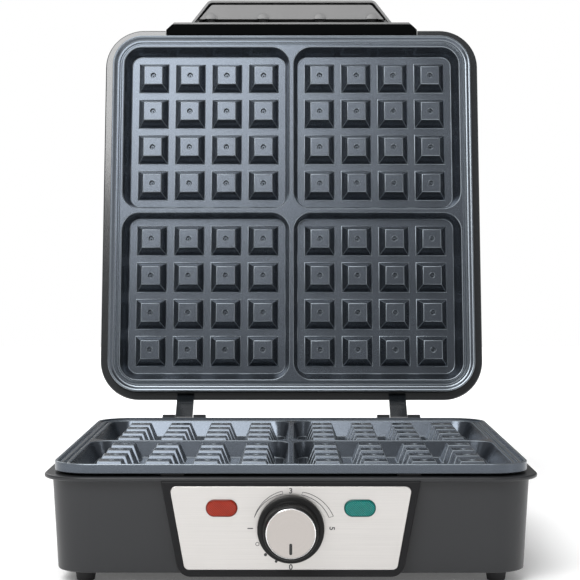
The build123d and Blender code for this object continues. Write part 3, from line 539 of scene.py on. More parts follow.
def cone(mesh: Mesh, radii: Pair, depth: float, place: Matrix, segments: int) -> Corners:
    """Add a capped cone or cylinder to a bmesh, and give its corners."""
    first, second = radii
    return bmesh.ops.create_cone(
        mesh, cap_ends=True, segments=segments, radius1=first, radius2=second, depth=depth, matrix=place
    )["verts"]


def round_off(mesh: Mesh, edges: list[bmesh.types.BMEdge], width: float, segments: int) -> None:
    """Round some edges of a bmesh."""
    bmesh.ops.bevel(
        mesh, geom=edges, offset=width, segments=segments, profile=0.5, affect="EDGES", material=-1
    )


def stadium(length: float, width: float, axis: int, segments: int) -> Mesh:
    """Make a flat face with two round ends, longer along one axis."""
    mesh = bmesh.new()
    bmesh.ops.create_circle(mesh, cap_ends=True, segments=segments, radius=width / 2)
    for side in (-1, 1):
        half = [corner for corner in mesh.verts if corner.co[axis] * side > TINY]
        shift = Vector((0, 0, 0))
        shift[axis] = side * (length - width) / 2
        bmesh.ops.translate(mesh, verts=half, vec=shift)
    return mesh


def extruded(mesh: Mesh) -> Corners:
    """Extrude a bmesh's faces without moving them, and give the new corners."""
    grown = bmesh.ops.extrude_face_region(mesh, geom=list(mesh.faces))["geom"]
    return [item for item in grown if isinstance(item, bmesh.types.BMVert)]


def turned(profile: list[Pair], axis: Vector, centre: Vector, steps: int) -> Mesh:
    """Turn a closed profile around an axis.

    Args:
        profile: Radius and distance along the axis of each corner, in order.
        axis: The axis's direction.
        centre: The point from which the distances count.
        steps: How many sides the turned shape has.

    Returns:
        The turned bmesh.
    """
    outward = axis.orthogonal().normalized()
    mesh = bmesh.new()
    corners = [mesh.verts.new(centre + outward * radius + axis * along) for radius, along in profile]
    edges = [mesh.edges.new(pair) for pair in zip(corners, corners[1:] + corners[:1])]
    bmesh.ops.spin(
        mesh, geom=corners + edges, cent=centre, axis=axis, angle=2 * pi, steps=steps, use_merge=True
    )
    bmesh.ops.remove_doubles(mesh, verts=mesh.verts, dist=SEAM_DISTANCE)
    return mesh


def merged_copy(node: Piece) -> Mesh:
    """Copy a node's mesh with its loose triangles joined."""
    mesh = bmesh.new()
    mesh.from_mesh(node.data)
    bmesh.ops.remove_doubles(mesh, verts=mesh.verts, dist=JOIN_DISTANCE)
    return mesh


def softened(
    node: Piece, name: str, width: float, segments: int = 2, sharp_deg: float = 28.0, edge_slot: int = -1
) -> Piece:
    """Make a copy of a node whose sharp edges are rounded.

    Args:
        node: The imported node.
        name: The new piece's name.
        width: The width of the rounding.
        segments: How many facets it has.
        sharp_deg: The least angle between the faces of an edge that is rounded.
        edge_slot: The number of the material slot for the rounded edges, or -1 for that of their faces.

    Returns:
        The new piece.
    """
    flat_angle_deg = 0.6
    mesh = merged_copy(node)
    bmesh.ops.dissolve_limit(mesh, angle_limit=radians(flat_angle_deg), verts=mesh.verts, edges=mesh.edges)
    weights = mesh.edges.layers.float.new("bevel_weight_edge")
    for edge in mesh.edges:
        sharp = len(edge.link_faces) == 2 and edge.calc_face_angle() > radians(sharp_deg)
        edge.smooth = not sharp
        edge[weights] = float(sharp)
    for face in mesh.faces:
        face.smooth = True
    piece = solid(name, mesh, flip=False)
    rounding = piece.modifiers.new("rounding", "BEVEL")
    configured(rounding, width=width, segments=segments, limit_method="WEIGHT")
    configured(rounding, material=edge_slot, use_clamp_overlap=edge_slot < 0)
    configured(piece.modifiers.new("even_normals", "WEIGHTED_NORMAL"), keep_sharp=True)
    return piece


def extremes(places: list[Vector]) -> Box:
    """Give the lowest and highest corner of the box around some places."""
    low, high = ([pick(place[axis] for place in places) for axis in range(3)] for pick in (min, max))
    return Vector(low), Vector(high)


def front_middle(box: Box, y: float) -> Vector:
    """Give the middle of a box as seen from the front, at the given Y."""
    low, high = box
    return Vector(((low.x + high.x) / 2, y, (low.z + high.z) / 2))


def islands(node: Piece) -> list[Box]:
    """Give the lowest and highest corner of each separate solid in a node."""
    mesh = merged_copy(node)
    boxes, left = [], set(mesh.verts)
    while left:
        found, queue = set(), [left.pop()]
        while queue:
            corner = queue.pop()
            found.add(corner)
            for edge in corner.link_edges:
                other = edge.other_vert(corner)
                if other in left:
                    left.discard(other)
                    queue.append(other)
        boxes.append(extremes([corner.co for corner in found]))
    mesh.free()
    return sorted(boxes, key=lambda pair: tuple(pair[0]))


def dress(piece: Piece, material: bpy.types.Material) -> None:
    """Give a piece one material."""
    piece.data.materials.clear()
    piece.data.materials.append(material)


class LidAxes:
    """The open lid's own directions, up along its face and out of it, and its hinge."""

    def __init__(self, frame: dict) -> None:
        """Work the directions out from the hinge's range."""
        hinge = next(joint for joint in frame["joints"] if joint["name"] == "lid_hinge")
        lean = radians(hinge["range_deg"][1] - 90)
        self.hinge = Vector(hinge["pos_m"])
        self.up = Vector((0, sin(lean), cos(lean)))
        self.out = Vector((0, -cos(lean), sin(lean)))
        self.turn = Matrix((Vector((1, 0, 0)), self.up, self.out)).transposed().to_4x4()


class Assembly:
    """What every sub-assembly needs: the nodes, the finishes and a way to hand a piece over."""

    def __init__(self, frame: dict, finishes: Finishes) -> None:
        """Keep the nodes, the finishes and the slot of each node."""
        self.nodes = frame["nodes"]
        self.finishes = finishes
        self.lid = LidAxes(frame)
        self.slots = {part["node"]: part["material_slot"] for part in frame["record"]["subparts"]}

    def paint(self, name: str) -> None:
        """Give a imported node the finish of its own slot."""
        material = self.finishes.materials[self.slots[name]]
        node = self.nodes[name]
        for slot in node.material_slots:
            slot.material = material
        if not node.material_slots:
            node.data.materials.append(material)
        log.info("node %s in %s", name, material.name)

    def make(self, name: str, mesh: Mesh, angle_deg: float, body: str, slot: str, *replaced: str) -> None:
        """Turn a bmesh into a smooth piece, crisp above the angle, and hand it over."""
        self.hand_over(smooth(solid(name, mesh), angle_deg), body, slot, *replaced)

    def hand_over(self, piece: Piece, body: str, slot: str, *replaced: str) -> Piece:
        """Dress a new piece, name its slot and body, and hide the nodes it stands for."""
        dress(piece, self.finishes.materials[slot])
        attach(piece, body)
        if replaced:
            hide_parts(*replaced)
        log.info("piece %s on %s in %s", piece.name, body, slot)
        return piece


# ---- the object's sub-assemblies ----


@dataclass
class Castings:
    """The two cast grid plates, with a painted highlight on their rounded edges and a raised dot in each
    peg's dimple.
    """

    shop: Assembly
    rounding: float = 0.4 * MM
    quadrant_pitch: float = 113.1 * MM
    peg_pitch: float = 25.0 * MM
    peg_rows: int = 4
    dimple_floor: float = 2.0 * MM
    dimple_radius: float = 1.0 * MM
    dimple_drawn: float = 1.55 * MM
    dimple_deeper: float = 1.2 * MM
    floor_slack: float = 0.1 * MM
    dot_radius: float = 0.6 * MM
    dot_height: float = 1.7 * MM
    lid_drop: float = 7.3 * MM

    def build(self) -> None:
        """Make both plates."""
        self.cast("lower_plate", "base", at((0, 0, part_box("lower_plate")[1].z)))
        lid = self.shop.lid
        root = lid.hinge + lid.up * lid.hinge.y - lid.out * self.lid_drop
        self.cast("upper_plate", "lid", at(root) @ lid.turn)

    def cast(self, node: str, body: str, face: Matrix) -> None:
        """Make one plate and the dots of its pegs, which stand in its face plane's own axes."""
        piece = softened(self.shop.nodes[node], f"{node}_cast", self.rounding, edge_slot=1)
        middles = [side * self.quadrant_pitch / 2 for side in (-1, 1)]
        rows = [(row - (self.peg_rows - 1) / 2) * self.peg_pitch for row in range(self.peg_rows)]
        places = [middle + row for middle in middles for row in rows]
        self.widen_dimples(piece, face, places)
        self.shop.hand_over(piece, body, "nonstick", node)
        # The second slot is the lighter coating that paints a highlight on the rounded edges.
        piece.data.materials.append(self.shop.finishes.painted_edge_highlight)
        mesh = bmesh.new()
        level = self.dot_height / 2 - self.dimple_floor - self.dimple_deeper
        for x in places:
            for y in places:
                spot = face @ at((x, y, level))
                cone(mesh, (self.dot_radius, self.dot_radius / 2), self.dot_height, spot, 12)
        self.shop.make(f"{node}_dots", mesh, 50.0, body, "nonstick")

    def widen_dimples(self, piece: Piece, face: Matrix, places: list[float]) -> None:
        """Make each peg's dimple wider and deeper, so that its dot stands in a dark ring."""
        back, growth = face.inverted(), self.dimple_drawn / self.dimple_radius
        reach, deepest = self.dimple_radius * 1.2, 2 * self.dimple_floor
        for corner in piece.data.vertices:
            spot = back @ corner.co
            middle = Vector([min(places, key=lambda place: abs(place - along)) for along in spot.xy])
            away = spot.xy - middle
            if away.length < reach and abs(spot.z) < deepest:
                spot.xy = middle + away * growth
                if spot.z < self.floor_slack - self.dimple_floor:
                    spot.z -= self.dimple_deeper
                corner.co = face @ spot


@dataclass
class Handle:
    """The lid's handle: its bar with a grey lip that paints its edge's highlight, its grip, and the cover
    with its plugs and a black sheet of painted shadow around it.
    """

    shop: Assembly
    bar_round: float = 0.7 * MM
    grip_round: float = 0.5 * MM
    cover_round: float = 0.3 * MM
    shadow_gap_width: float = 1.1 * MM
    shadow_sheet_sink: float = 0.25 * MM
    lip_height: float = 1.4 * MM
    lip_depth: float = 2.6 * MM
    lip_inset: float = 4.0 * MM
    lip_setback: float = 0.2 * MM
    lip_round: float = 0.3 * MM
    plug_radius: float = 4.2 * MM
    plug_taper: float = 0.3 * MM
    plug_rise: float = 1.1 * MM
    plug_sink: float = 0.3 * MM
    plug_round: float = 0.2 * MM

    def build(self) -> None:
        """Make every piece of the handle."""
        self.axes = self.shop.lid.turn
        self.ease("handle_bar", "handle_black", self.bar_round)
        self.ease("handle_grip", "handle_grey", self.grip_round)
        self.add_shadow_sheet()
        self.fit_cover(self.ease("handle_cover", "handle_grey", self.cover_round))
        self.add_highlight_lip()
        self.add_plugs()

    def ease(self, node: str, slot: str, width: float) -> Piece:
        """Make a copy of a node with eased edges."""
        piece = softened(self.shop.nodes[node], f"{node}_eased", width, 3, sharp_deg=35.0)
        return self.shop.hand_over(piece, "lid", slot, node)

    def extent(self, node: str) -> Box:
        """Give a node's lowest and highest corner across the lid, along its face and out of it."""
        back = self.axes.inverted()
        return extremes([back @ corner.co for corner in self.shop.nodes[node].data.vertices])

    def stand(self, name: str, mesh: Mesh, slot: str, angle_deg: float) -> None:
        """Turn a bmesh from the lid's axes into place, and hand it over."""
        bmesh.ops.transform(mesh, matrix=self.axes, verts=mesh.verts)
        self.shop.make(name, mesh, angle_deg, "lid", slot)

    def fit_cover(self, cover: Piece) -> None:
        """Draw the cover in from its sides and its far edge, so that the black sheet of painted shadow shows
        around it.
        """
        low, high = self.extent("handle_cover")
        across = 1 - 2 * self.shadow_gap_width / (high.x - low.x)
        along = 1 - self.shadow_gap_width / (high.y - low.y)
        root = at((0, low.y, 0))
        shrink = root @ Matrix.Diagonal((across, along, 1, 1)) @ root.inverted()
        cover.data.transform(self.axes @ shrink @ self.axes.inverted())

    def add_shadow_sheet(self) -> None:
        """Make the black sheet under the cover's edge, which paints the shadow in the gap around the cover.
        """
        mesh = merged_copy(self.shop.nodes["handle_cover"])
        # Push a black copy of the cover back: it paints the shadow in the gap around the shrunken cover.
        bmesh.ops.translate(mesh, verts=mesh.verts, vec=-self.axes.to_3x3().col[2] * self.shadow_sheet_sink)
        self.shop.hand_over(smooth(solid("handle_shadow_sheet", mesh, flip=False)), "lid", "handle_black")

    def add_highlight_lip(self) -> None:
        """Make the raised lip along the bar's upper front edge, in a grey that paints the highlight on that
        edge.
        """
        high = self.extent("handle_bar")[1]
        half = high.x - self.lip_inset
        depth = high.z - self.lip_depth / 2 - self.lip_setback
        middle = Vector((0, high.y + self.lip_height / 2, depth))
        shape = Matrix.Diagonal((2 * half, self.lip_height, self.lip_depth, 1))
        mesh = bmesh.new()
        bmesh.ops.create_cube(mesh, size=1.0, matrix=at(middle) @ shape)
        tips = [corner for corner in mesh.verts if corner.co.y > middle.y]
        bmesh.ops.scale(mesh, verts=tips, vec=(1 - self.lip_height / half, 1, 1))
        round_off(mesh, list(mesh.edges), self.lip_round, 3)
        # The lip is grey, which paints the highlight along the bar's top edge.
        self.stand("handle_bar_highlight_lip", mesh, "handle_grey", 40.0)

    def add_plugs(self) -> None:
        """Make the round plugs over the handle's screws, cut off at the cover's near edge."""
        low, high = self.extent("handle_cover")
        level, radii = high.z - self.plug_sink, (self.plug_radius, self.plug_radius - self.plug_taper)
        mesh = bmesh.new()
        for first, last in islands(self.shop.nodes["handle_screws"]):
            place = at(((first.x + last.x) / 2, low.y, level))
            plug = cone(mesh, radii, 2 * self.plug_rise, place, 48)
            rim = dict.fromkeys(edge for corner in plug for edge in corner.link_edges)
            short = [edge for edge in rim if edge.calc_length() < MM]
            top = [edge for edge in short if all(corner.co.z > level for corner in edge.verts)]
            round_off(mesh, top, self.plug_round, 2)
        everything = [*mesh.verts, *mesh.edges, *mesh.faces]
        cut = bmesh.ops.bisect_plane(
            mesh, geom=everything, plane_co=(0, low.y, 0), plane_no=(0, 1, 0), clear_inner=True
        )["geom_cut"]
        bmesh.ops.holes_fill(mesh, edges=[item for item in cut if isinstance(item, bmesh.types.BMEdge)])
        self.stand("handle_plugs", mesh, "handle_grey", 30.0)


@dataclass
class Knob:
    """The control knob, with fine ribs around its grip, its spun cap and its pointer."""

    shop: Assembly
    ribs: int = 96
    rib_depth: float = 0.32 * MM
    rib_start: float = 0.9 * MM
    rib_end: float = 1.5 * MM
    skirt_length: float = 5.5 * MM
    skirt_round: float = 0.9 * MM
    grip_radius: float = 14.2 * MM
    grip_tip_radius: float = 13.7 * MM
    grip_step: float = 0.35 * MM
    cap_radius: float = 12.42 * MM
    cap_recess: float = 0.75 * MM
    bore_radius: float = 3.3 * MM
    wall: float = 1.8 * MM
    rim_step: float = 0.16 * MM
    slot_depth: float = 0.55 * MM
    pointer_recess: float = 0.4 * MM

    def profile(self, radius: float, length: float) -> list[Pair]:
        """Give the knob's section from its bore round the outside and back."""
        skirt, edge = self.skirt_length, self.skirt_round
        tip = length - self.grip_step
        return [
            (self.bore_radius, 0.6 * MM), (radius - self.wall, 0.6 * MM), (radius - self.wall, 0.0),
            (radius - 0.25 * MM, 0.0), (radius, 0.3 * MM), (radius, skirt - edge),
            (radius - 0.26 * edge, skirt - 0.3 * edge), (radius - edge, skirt),
            (self.grip_radius + 0.5 * MM, skirt + 0.05 * MM),
            (self.grip_radius + 0.1 * MM, skirt + 0.5 * MM), (self.grip_radius, skirt + 1.0 * MM),
            (self.grip_tip_radius, tip - 1.2 * MM), (self.grip_tip_radius - 0.15 * MM, tip - 0.4 * MM),
            (self.grip_tip_radius - 0.5 * MM, tip + 0.2 * MM), (self.cap_radius + 0.45 * MM, length),
            (self.cap_radius + 0.1 * MM, length), (self.cap_radius, length - 0.1 * MM),
            (self.cap_radius, length - self.cap_recess), (self.bore_radius, length - self.cap_recess),
        ]

    def build(self) -> None:
        """Make the knob, its cap and its pointer."""
        low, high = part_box("control_knob")
        centre, length = front_middle((low, high), high.y), high.y - low.y
        mesh = turned(self.profile((high.x - low.x) / 2, length), FRONT, centre, 2 * self.ribs)
        self.cut_ribs(mesh, centre, length)
        self.shop.make("control_knob_ribbed", mesh, 24.0, "knob", "knob_black", "control_knob")
        self.build_cap()

    def cut_ribs(self, mesh: Mesh, centre: Vector, length: float) -> None:
        """Draw every second line of the grip inwards."""
        first, last = self.skirt_length + self.rib_start, length - self.rib_end
        for corner in mesh.verts:
            away = Vector((corner.co.x - centre.x, 0, corner.co.z - centre.z))
            turn = round(atan2(away.z, away.x) / (pi / self.ribs))
            if first < centre.y - corner.co.y < last and away.length > self.cap_radius and turn % 2:
                corner.co -= away.normalized() * self.rib_depth

    def build_cap(self) -> None:
        """Make the spun cap with its painted rim highlight, and the pointer sunk in it."""
        low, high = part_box("knob_cap")
        radius, thick, step = (high.x - low.x) / 2, high.y - low.y, self.rim_step
        profile = [
            (0.0, 0.0), (radius, 0.0), (radius, thick - 0.3 * MM),
            (radius - 0.1 * MM, thick - 0.1 * MM), (radius - 0.24 * MM, thick),
            (radius - 0.36 * MM, thick - 0.02 * MM), (radius - 0.5 * MM, thick - step),
            (radius * 0.5, thick - 0.8 * step), (0.0, thick - 0.75 * step),
        ]
        centre = front_middle((low, high), high.y)
        cap = solid("knob_cap_spun", turned(profile, FRONT, centre, 2 * self.ribs))
        cut_out(cap, solid("slot", self.bar_shape((low.y - MM, low.y + self.slot_depth))))
        self.shop.hand_over(smooth(cap, 26.0), "knob", "cap_steel", "knob_cap")
        inlay = self.bar_shape((low.y + self.pointer_recess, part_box("knob_pointer")[1].y))
        self.shop.make("pointer_inlay", inlay, 40.0, "knob", "pointer_black", "knob_pointer")

    def bar_shape(self, depths: Pair) -> Mesh:
        """Make the pointer's shape, an upright bar with round ends, between two depths along Y."""
        low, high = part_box("knob_pointer")
        middle = (low + high) / 2
        mesh = stadium(high.z - low.z, high.x - low.x, 1, 32)
        place = at((middle.x, depths[0], middle.z)) @ STAND_UP
        bmesh.ops.transform(mesh, matrix=place, verts=mesh.verts)
        bmesh.ops.translate(mesh, verts=extruded(mesh), vec=(0, depths[1] - depths[0], 0))
        return mesh


@dataclass
class Lamp:
    """One indicator lamp's lens: a rounded stadium with diamond facets."""

    shop: Assembly
    node: str
    slot: str
    round_width: float = 0.8 * MM
    facet_pitch: float = 1.02 * MM
    facet_height: float = 0.22 * MM
    margin: float = 1.25 * MM
    proud: float = 1.4 * MM

    def build(self) -> None:
        """Make the lens and its facets."""
        low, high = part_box(self.node)
        length, width = high.x - low.x, high.z - low.z
        mesh = stadium(length, width, 0, 96)
        lifted = extruded(mesh)
        bmesh.ops.translate(mesh, verts=lifted, vec=(0, 0, self.proud - self.facet_height))
        rim = [edge for edge in mesh.edges if set(lifted).issuperset(edge.verts)]
        round_off(mesh, rim, self.round_width, 5)
        self.add_facets(mesh, (length - width) / 2, width)
        place = at(front_middle((low, high), low.y + self.proud)) @ STAND_UP
        bmesh.ops.transform(mesh, matrix=place, verts=mesh.verts)
        self.shop.make(f"{self.node}_dome", mesh, 40.0, "base", self.slot, self.node)

    def add_facets(self, mesh: Mesh, flat: float, width: float) -> None:
        """Add the small pyramids in diagonal rows on the lens's face."""
        reach = width / 2 - self.margin
        step = self.facet_pitch / 2
        radii, level = (step * 0.98, step * 0.12), self.proud - self.facet_height / 2
        count = int((flat + reach) / step) + 1
        for row in range(-count, count + 1):
            for column in range(-count, count + 1):
                x, y = column * step, row * step
                outside = max(abs(x) - flat, 0.0)
                if (row + column) % 2 or (outside**2 + y**2) ** 0.5 > reach:
                    continue
                cone(mesh, radii, self.facet_height, at((x, y, level)), 4)


@dataclass
class Panel:
    """The steel control panel and the print around its knob.

    The tables of marks are in millimetres and in degrees, counted anticlockwise from the right.
    """

    shop: Assembly
    edge_round: float = 0.75 * MM
    ink_thick: float = 0.05 * MM
    stroke: float = 0.16 * MM
    figure_height: float = 2.7 * MM
    boldness: float = 0.09 * MM
    curve_steps: int = 24
    ring: Triple = (-155.0, 18.5, 0.85)
    arcs: tuple = (((164.0, 103.0), (19.1, 17.7), (19.1, 19.2)), ((72.0, 16.0), (17.7, 19.9), (19.2, 22.2)))
    dots: tuple = ((-134.0, 18.3, 0.8), (-114.0, 18.1, 0.7))
    figures: tuple = (
        ("0", -90.0, 19.5, 0.0), ("1", 180.0, 20.2, 90.0), ("3", 90.0, 18.8, 0.0), ("5", 0.0, 20.6, -90.0)
    )

    def build(self) -> None:
        """Make the panel, its dial's arcs, dots and figures."""
        plate = softened(
            self.shop.nodes["front_panel"], "front_panel_plate", self.edge_round, 3, sharp_deg=50.0
        )
        self.shop.hand_over(plate, "base", "panel_steel", "front_panel")
        self.axis = front_middle(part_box("control_knob"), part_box("front_panel")[0].y)
        marks = [self.line(self.circle(*self.ring))]
        marks += [self.line(self.wedge(*arc)) for arc in self.arcs]
        marks += [self.dot(*dot) for dot in self.dots]
        marks += [self.figure(*figure) for figure in self.figures]
        self.join("dial_print", marks)

    def spot(self, angle_deg: float, radius_mm: float) -> Vector:
        """Give a place around the knob."""
        turn, radius = radians(angle_deg), radius_mm * MM
        return Vector((radius * cos(turn), radius * sin(turn), 0.0))

    def circle(self, angle_deg: float, radius_mm: float, size_mm: float) -> list[Vector]:
        """Give the points of a small circle."""
        middle = self.spot(angle_deg, radius_mm)
        turns = [step * 360.0 / self.curve_steps for step in range(self.curve_steps)]
        return [middle + self.spot(turn, size_mm) for turn in turns]

    def wedge(self, angles: Pair, inner: Pair, outer: Pair) -> list[Vector]:
        """Give the outline of an arc between two angles, whose two radii change evenly from its start."""
        first, last = angles
        steps = [step / self.curve_steps for step in range(self.curve_steps + 1)]
        near, far = (
            [self.spot(first + (last - first) * t, start + (end - start) * t) for t in steps]
            for start, end in (inner, outer)
        )
        return near + far[::-1]

    def line(self, points: list[Vector]) -> Piece:
        """Make a fine closed printed line through points."""
        curve = bpy.data.curves.new("line", "CURVE")
        configured(curve, dimensions="3D", bevel_depth=self.stroke, bevel_resolution=1)
        line = curve.splines.new("POLY")
        line.points.add(len(points) - 1)
        for knot, point in zip(line.points, points):
            knot.co = (*point, 1.0)
        line.use_cyclic_u = True
        return self.flattened(curve)

    def figure(self, text: str, angle_deg: float, radius_mm: float, turn_deg: float) -> Piece:
        """Make a printed figure of the dial, turned to follow it."""
        curve = bpy.data.curves.new(f"figure_{text}", "FONT")
        configured(curve, body=text, align_x="CENTER", align_y="CENTER")
        configured(curve, size=self.figure_height * 1.4, extrude=self.stroke / 2, offset=self.boldness)
        turn = Matrix.Rotation(radians(turn_deg), 4, "Z")
        return self.flattened(curve, at(self.spot(angle_deg, radius_mm)) @ turn)

    def flattened(self, curve: bpy.types.Curve, place: Matrix = Matrix.Identity(4)) -> Piece:
        """Turn a curve or a figure into a thin mesh that lies on the panel."""
        source = add_object(curve.name, curve)
        bpy.context.view_layer.update()
        data = worked_out(source)
        bpy.data.objects.remove(source)
        data.transform(place)
        self.lay(data)
        return add_object(curve.name, data)

    def lay(self, data: bpy.types.Mesh) -> None:
        """Flatten a mesh to the ink's thickness and stand it on the panel's face."""
        thick = max(abs(corner.co.z) for corner in data.vertices)
        data.transform(Matrix.Diagonal((1, 1, self.ink_thick / thick, 1)))
        data.transform(at(self.axis) @ STAND_UP)

    def dot(self, angle_deg: float, radius_mm: float, size_mm: float) -> Piece:
        """Make a printed dot."""
        mesh = bmesh.new()
        place, size = at(self.spot(angle_deg, radius_mm)), size_mm * MM
        cone(mesh, (size, size), self.stroke, place, self.curve_steps)
        piece = solid("dot", mesh)
        self.lay(piece.data)
        return piece

    def join(self, name: str, pieces: list[Piece]) -> None:
        """Join the printed marks into one piece."""
        mesh = bmesh.new()
        for piece in pieces:
            mesh.from_mesh(piece.data)
            bpy.data.objects.remove(piece)
        marks = solid(name, mesh)
        dress(marks, self.shop.finishes.ink)
        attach(marks, "base")
        log.info("piece %s on base", name)


@dataclass
class Screws:
    """Pan-head screws with a cross recess, one for each solid of a screw node."""

    shop: Assembly
    head_radius: float = 3.4 * MM
    head_height: float = 2.2 * MM
    shank_radius: float = 1.6 * MM
    recess_length: float = 3.6 * MM
    recess_width: float = 0.75 * MM
    recess_depth: float = 1.3 * MM
    recess_margin: float = 0.1 * MM
    pitch: float = 1.1 * MM
    plain_length: float = 0.8 * MM
    tip_length: float = 0.5 * MM
    first_turn_deg: float = 35.0
    next_turn_deg: float = 50.0
    made: dict[float, bpy.types.Mesh] = field(default_factory=dict)

    def profile(self, length: float) -> list[Pair]:
        """Give the screw's section: its domed head, its neck and its threaded shank."""
        top, head, shank = self.head_height, self.head_radius, self.shank_radius
        outline = [(0.0, -top), (head * 0.55, -top * 0.97), (head * 0.86, -top * 0.72), (head, -top * 0.3)]
        outline += [(head, -0.1 * MM), (head - 0.15 * MM, 0.0), (shank, 0.0)]
        for turn in range(int((length - 1.5 * MM) / self.pitch)):
            level = self.plain_length + turn * self.pitch
            outline += [(shank * 0.8, level), (shank, level + self.pitch / 2)]
        return [*outline, (shank * 0.6, length - self.tip_length), (0.0, length)]

    def template(self, length: float) -> bpy.types.Mesh:
        """Make one screw along +Z with its head's underside at the origin."""
        screw = solid("screw_blank", turned(self.profile(length), UPRIGHT, Vector((0, 0, 0)), 28))
        long, wide, deep = self.recess_length, self.recess_width, self.recess_depth
        place = at((0, 0, deep / 2 - self.head_height - self.recess_margin / 2))
        cutters = bmesh.new()
        for across, along in ((long, wide), (wide, long)):
            shape = Matrix.Diagonal((across, along, deep + self.recess_margin, 1))
            bmesh.ops.create_cube(cutters, size=1.0, matrix=place @ shape)
        cut_out(screw, solid("recess", cutters), overlapping=True)
        data = screw.data
        bpy.data.objects.remove(screw)
        return data

    def build(self, node: str, body: str, axis: Vector, length: float) -> None:
        """Make a node's screws.

        Args:
            node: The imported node, with one solid per screw.
            body: The body they ride on.
            axis: The direction in which they are driven.
            length: The shank's length under the head.
        """
        if length not in self.made:
            self.made[length] = self.template(length)
        turn = UPRIGHT.rotation_difference(axis).to_matrix().to_4x4()
        mesh = bmesh.new()
        for number, (low, high) in enumerate(islands(self.shop.nodes[node])):
            seat = (low + high) / 2 + axis * (self.head_height - length) / 2
            spin = Matrix.Rotation(radians(self.first_turn_deg + self.next_turn_deg * number), 4, "Z")
            part = self.made[length].copy()
            part.transform(at(seat) @ turn @ spin)
            mesh.from_mesh(part)
        self.shop.make(f"{node}_cross", mesh, 30.0, body, "screw_steel", node)


@dataclass
class Foot:
    """A soft foot with a grooved sole."""

    shop: Assembly
    node: str
    stem_radius: float = 3.0 * MM
    stem_start: float = 6.0 * MM
    stem_round: float = 0.5 * MM

    def build(self) -> None:
        """Make the foot."""
        low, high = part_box(self.node)
        centre = Vector(((low.x + high.x) / 2, (low.y + high.y) / 2, low.z))
        wide, stem, top = (high.x - low.x) / 2, self.stem_radius, high.z
        profile = [
            (0.0, 0.35 * MM), (2.0 * MM, 0.35 * MM), (2.2 * MM, 0.0), (3.1 * MM, 0.0),
            (3.3 * MM, 0.3 * MM), (3.5 * MM, 0.0), (wide - 1.5 * MM, 0.0),
            (wide - 0.95 * MM, 0.3 * MM), (wide - 0.75 * MM, 0.9 * MM), (wide - 0.45 * MM, 3.0 * MM),
            (wide - 0.15 * MM, 5.2 * MM), (wide, 5.7 * MM), (wide, self.stem_start),
            (stem, self.stem_start), (stem, top - self.stem_round), (stem - self.stem_round, top),
            (0.0, top),
        ]
        mesh = turned(profile, UPRIGHT, centre, 40)
        self.shop.make(f"{self.node}_pad", mesh, 35.0, "base", "foot_rubber", self.node)


# ---- the room ----


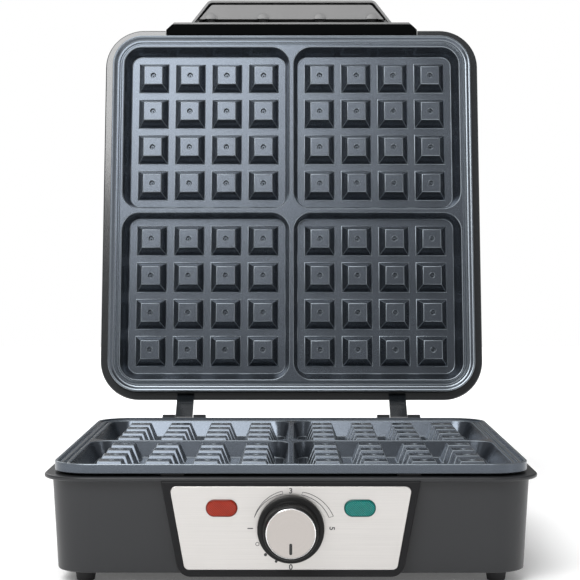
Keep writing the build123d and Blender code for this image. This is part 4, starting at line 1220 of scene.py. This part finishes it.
@dataclass
class Studio:
    """A pale floor, soft lights and the camera."""

    camera_place: Triple = (0.0013, -1.026, 0.1722)
    pitch_deg: float = 0.605
    turn_rad: float = 0.00190
    lens_mm: float = 111.23
    shift_y: float = -0.045
    near_clip: float = 0.01
    floor_side: float = 4.0
    floor_gap: float = 0.0004
    glow_start: float = 0.45
    glow_run: float = 0.5
    near_glow: float = 0.10
    far_glow: float = 0.55
    seen_level: float = 1.0
    diffuse_level: float = 0.52
    mirrored_level: float = 0.25
    target: Triple = (0, 0.12, 0.16)

    def build(self) -> None:
        """Make everything."""
        self.add_camera()
        self.add_floor()
        self.add_sky()
        self.add_light("key_softbox", (-0.52, -1.36, 1.42), (1.2, 1.0), 29.0)
        self.add_light("top_softbox", (-0.2, 0.4, 1.7), (1.4, 1.2), 9.0)
        self.add_light("back_softbox", (-0.9, 1.5, 1.0), (1.2, 1.0), 7.0)
        self.add_light("left_strip", (-1.1, -0.5, 0.35), (0.25, 0.9), 0.5)
        self.add_light("right_strip", (1.1, -0.5, 0.35), (0.25, 0.9), 1.2)

    def add_camera(self) -> None:
        """Make the camera."""
        data = bpy.data.cameras.new("camera")
        configured(data, lens=self.lens_mm, shift_y=self.shift_y, clip_start=self.near_clip)
        camera = add_object("camera", data)
        camera.location = self.camera_place
        camera.rotation_euler = (pi / 2 - radians(self.pitch_deg), 0, self.turn_rad)
        bpy.context.scene.camera = camera
        bpy.context.scene.view_settings.view_transform = "Standard"

    def add_floor(self) -> None:
        """Make the floor, which glows more the farther it is from the object."""
        mesh = bmesh.new()
        bmesh.ops.create_grid(mesh, x_segments=1, y_segments=1, size=self.floor_side / 2)
        bmesh.ops.translate(mesh, verts=mesh.verts, vec=(0, 0, -self.floor_gap))
        floor = solid("floor", mesh)
        surface = Surface(bpy.data.materials.new("floor_white"))
        tone = surface.blend(surface.noise(3.0), (0.94, 0.94, 0.94), (0.96, 0.96, 0.96))
        reach = surface.vector("LENGTH", surface.place(), output="Value")
        far = ((reach - self.glow_start) / self.glow_run).at_least(0.0).math("MINIMUM", 1.0)
        glow = surface.blend(far, (self.near_glow,) * 3, (self.far_glow,) * 3)
        inputs = {"Base Color": tone, "Roughness": 0.9, "Emission Color": glow, "Emission Strength": 1.0}
        dress(floor, surface.finish(inputs))

    def add_sky(self) -> None:
        """Make a white surrounding, dimmer in the object's reflections."""
        world = bpy.data.worlds.new("studio")
        bpy.context.scene.world = world
        surface = Surface(world)
        path = surface.node("ShaderNodeLightPath", {})
        strength: Value | float = self.seen_level
        for ray, level in (("Is Diffuse Ray", self.diffuse_level), ("Is Glossy Ray", self.mirrored_level)):
            inputs = {"Value": Value(surface, path.outputs[ray]), "To Min": strength, "To Max": level}
            strength = surface.value("ShaderNodeMapRange", inputs, "Result")
        sky = {"Color": (1, 1, 1, 1), "Strength": strength}
        background = surface.value("ShaderNodeBackground", sky, "Background")
        surface.node("ShaderNodeOutputWorld", {"Surface": background})

    def add_light(self, name: str, place: Triple, size: Pair, power: float) -> None:
        """Make a soft box that points at the object's middle."""
        data = bpy.data.lights.new(name, "AREA")
        configured(data, shape="RECTANGLE", size=size[0], size_y=size[1], energy=power)
        light = add_object(name, data)
        light.location = place
        light.rotation_euler = (Vector(self.target) - Vector(place)).to_track_quat("-Z", "Y").to_euler()


def build_fasteners(shop: Assembly) -> None:
    """Make every group of screws, with the lid's driven square to its own faces."""
    bite, wall, bar = 6.0 * MM, 2.5 * MM, 7.5 * MM
    screws, lid = Screws(shop), shop.lid
    screws.build("bottom_cover_screws", "base", UPRIGHT, bite + wall)
    screws.build("lower_plate_screws", "base", UPRIGHT, bite)
    screws.build("bracket_screws", "base", FRONT, bite)
    screws.build("upper_plate_screws", "lid", lid.out, bite)
    screws.build("lid_screws", "lid", lid.up, wall + bite)
    screws.build("handle_screws", "lid", lid.up, wall + bar + bite)


def main(frame: dict) -> None:
    """Build the room and every sub-assembly, and report each piece.

    Args:
        frame: What the frame's loader returned.
    """
    logging.basicConfig(level=logging.INFO, format="%(name)s: %(message)s")
    low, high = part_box("knob_cap")
    shop = Assembly(frame, Finishes((low + high) / 2))
    Studio().build()
    for name in frame["nodes"]:
        shop.paint(name)
    Castings(shop).build()
    Handle(shop).build()
    Panel(shop).build()
    Lamp(shop, "power_lamp_lens", "lens_red").build()
    Lamp(shop, "ready_lamp_lens", "lens_green").build()
    Knob(shop).build()
    build_fasteners(shop)
    for name in frame["nodes"]:
        if name.startswith("foot_"):
            Foot(shop, name).build()


if __name__ == "__main__":
    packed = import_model()
    main(packed)
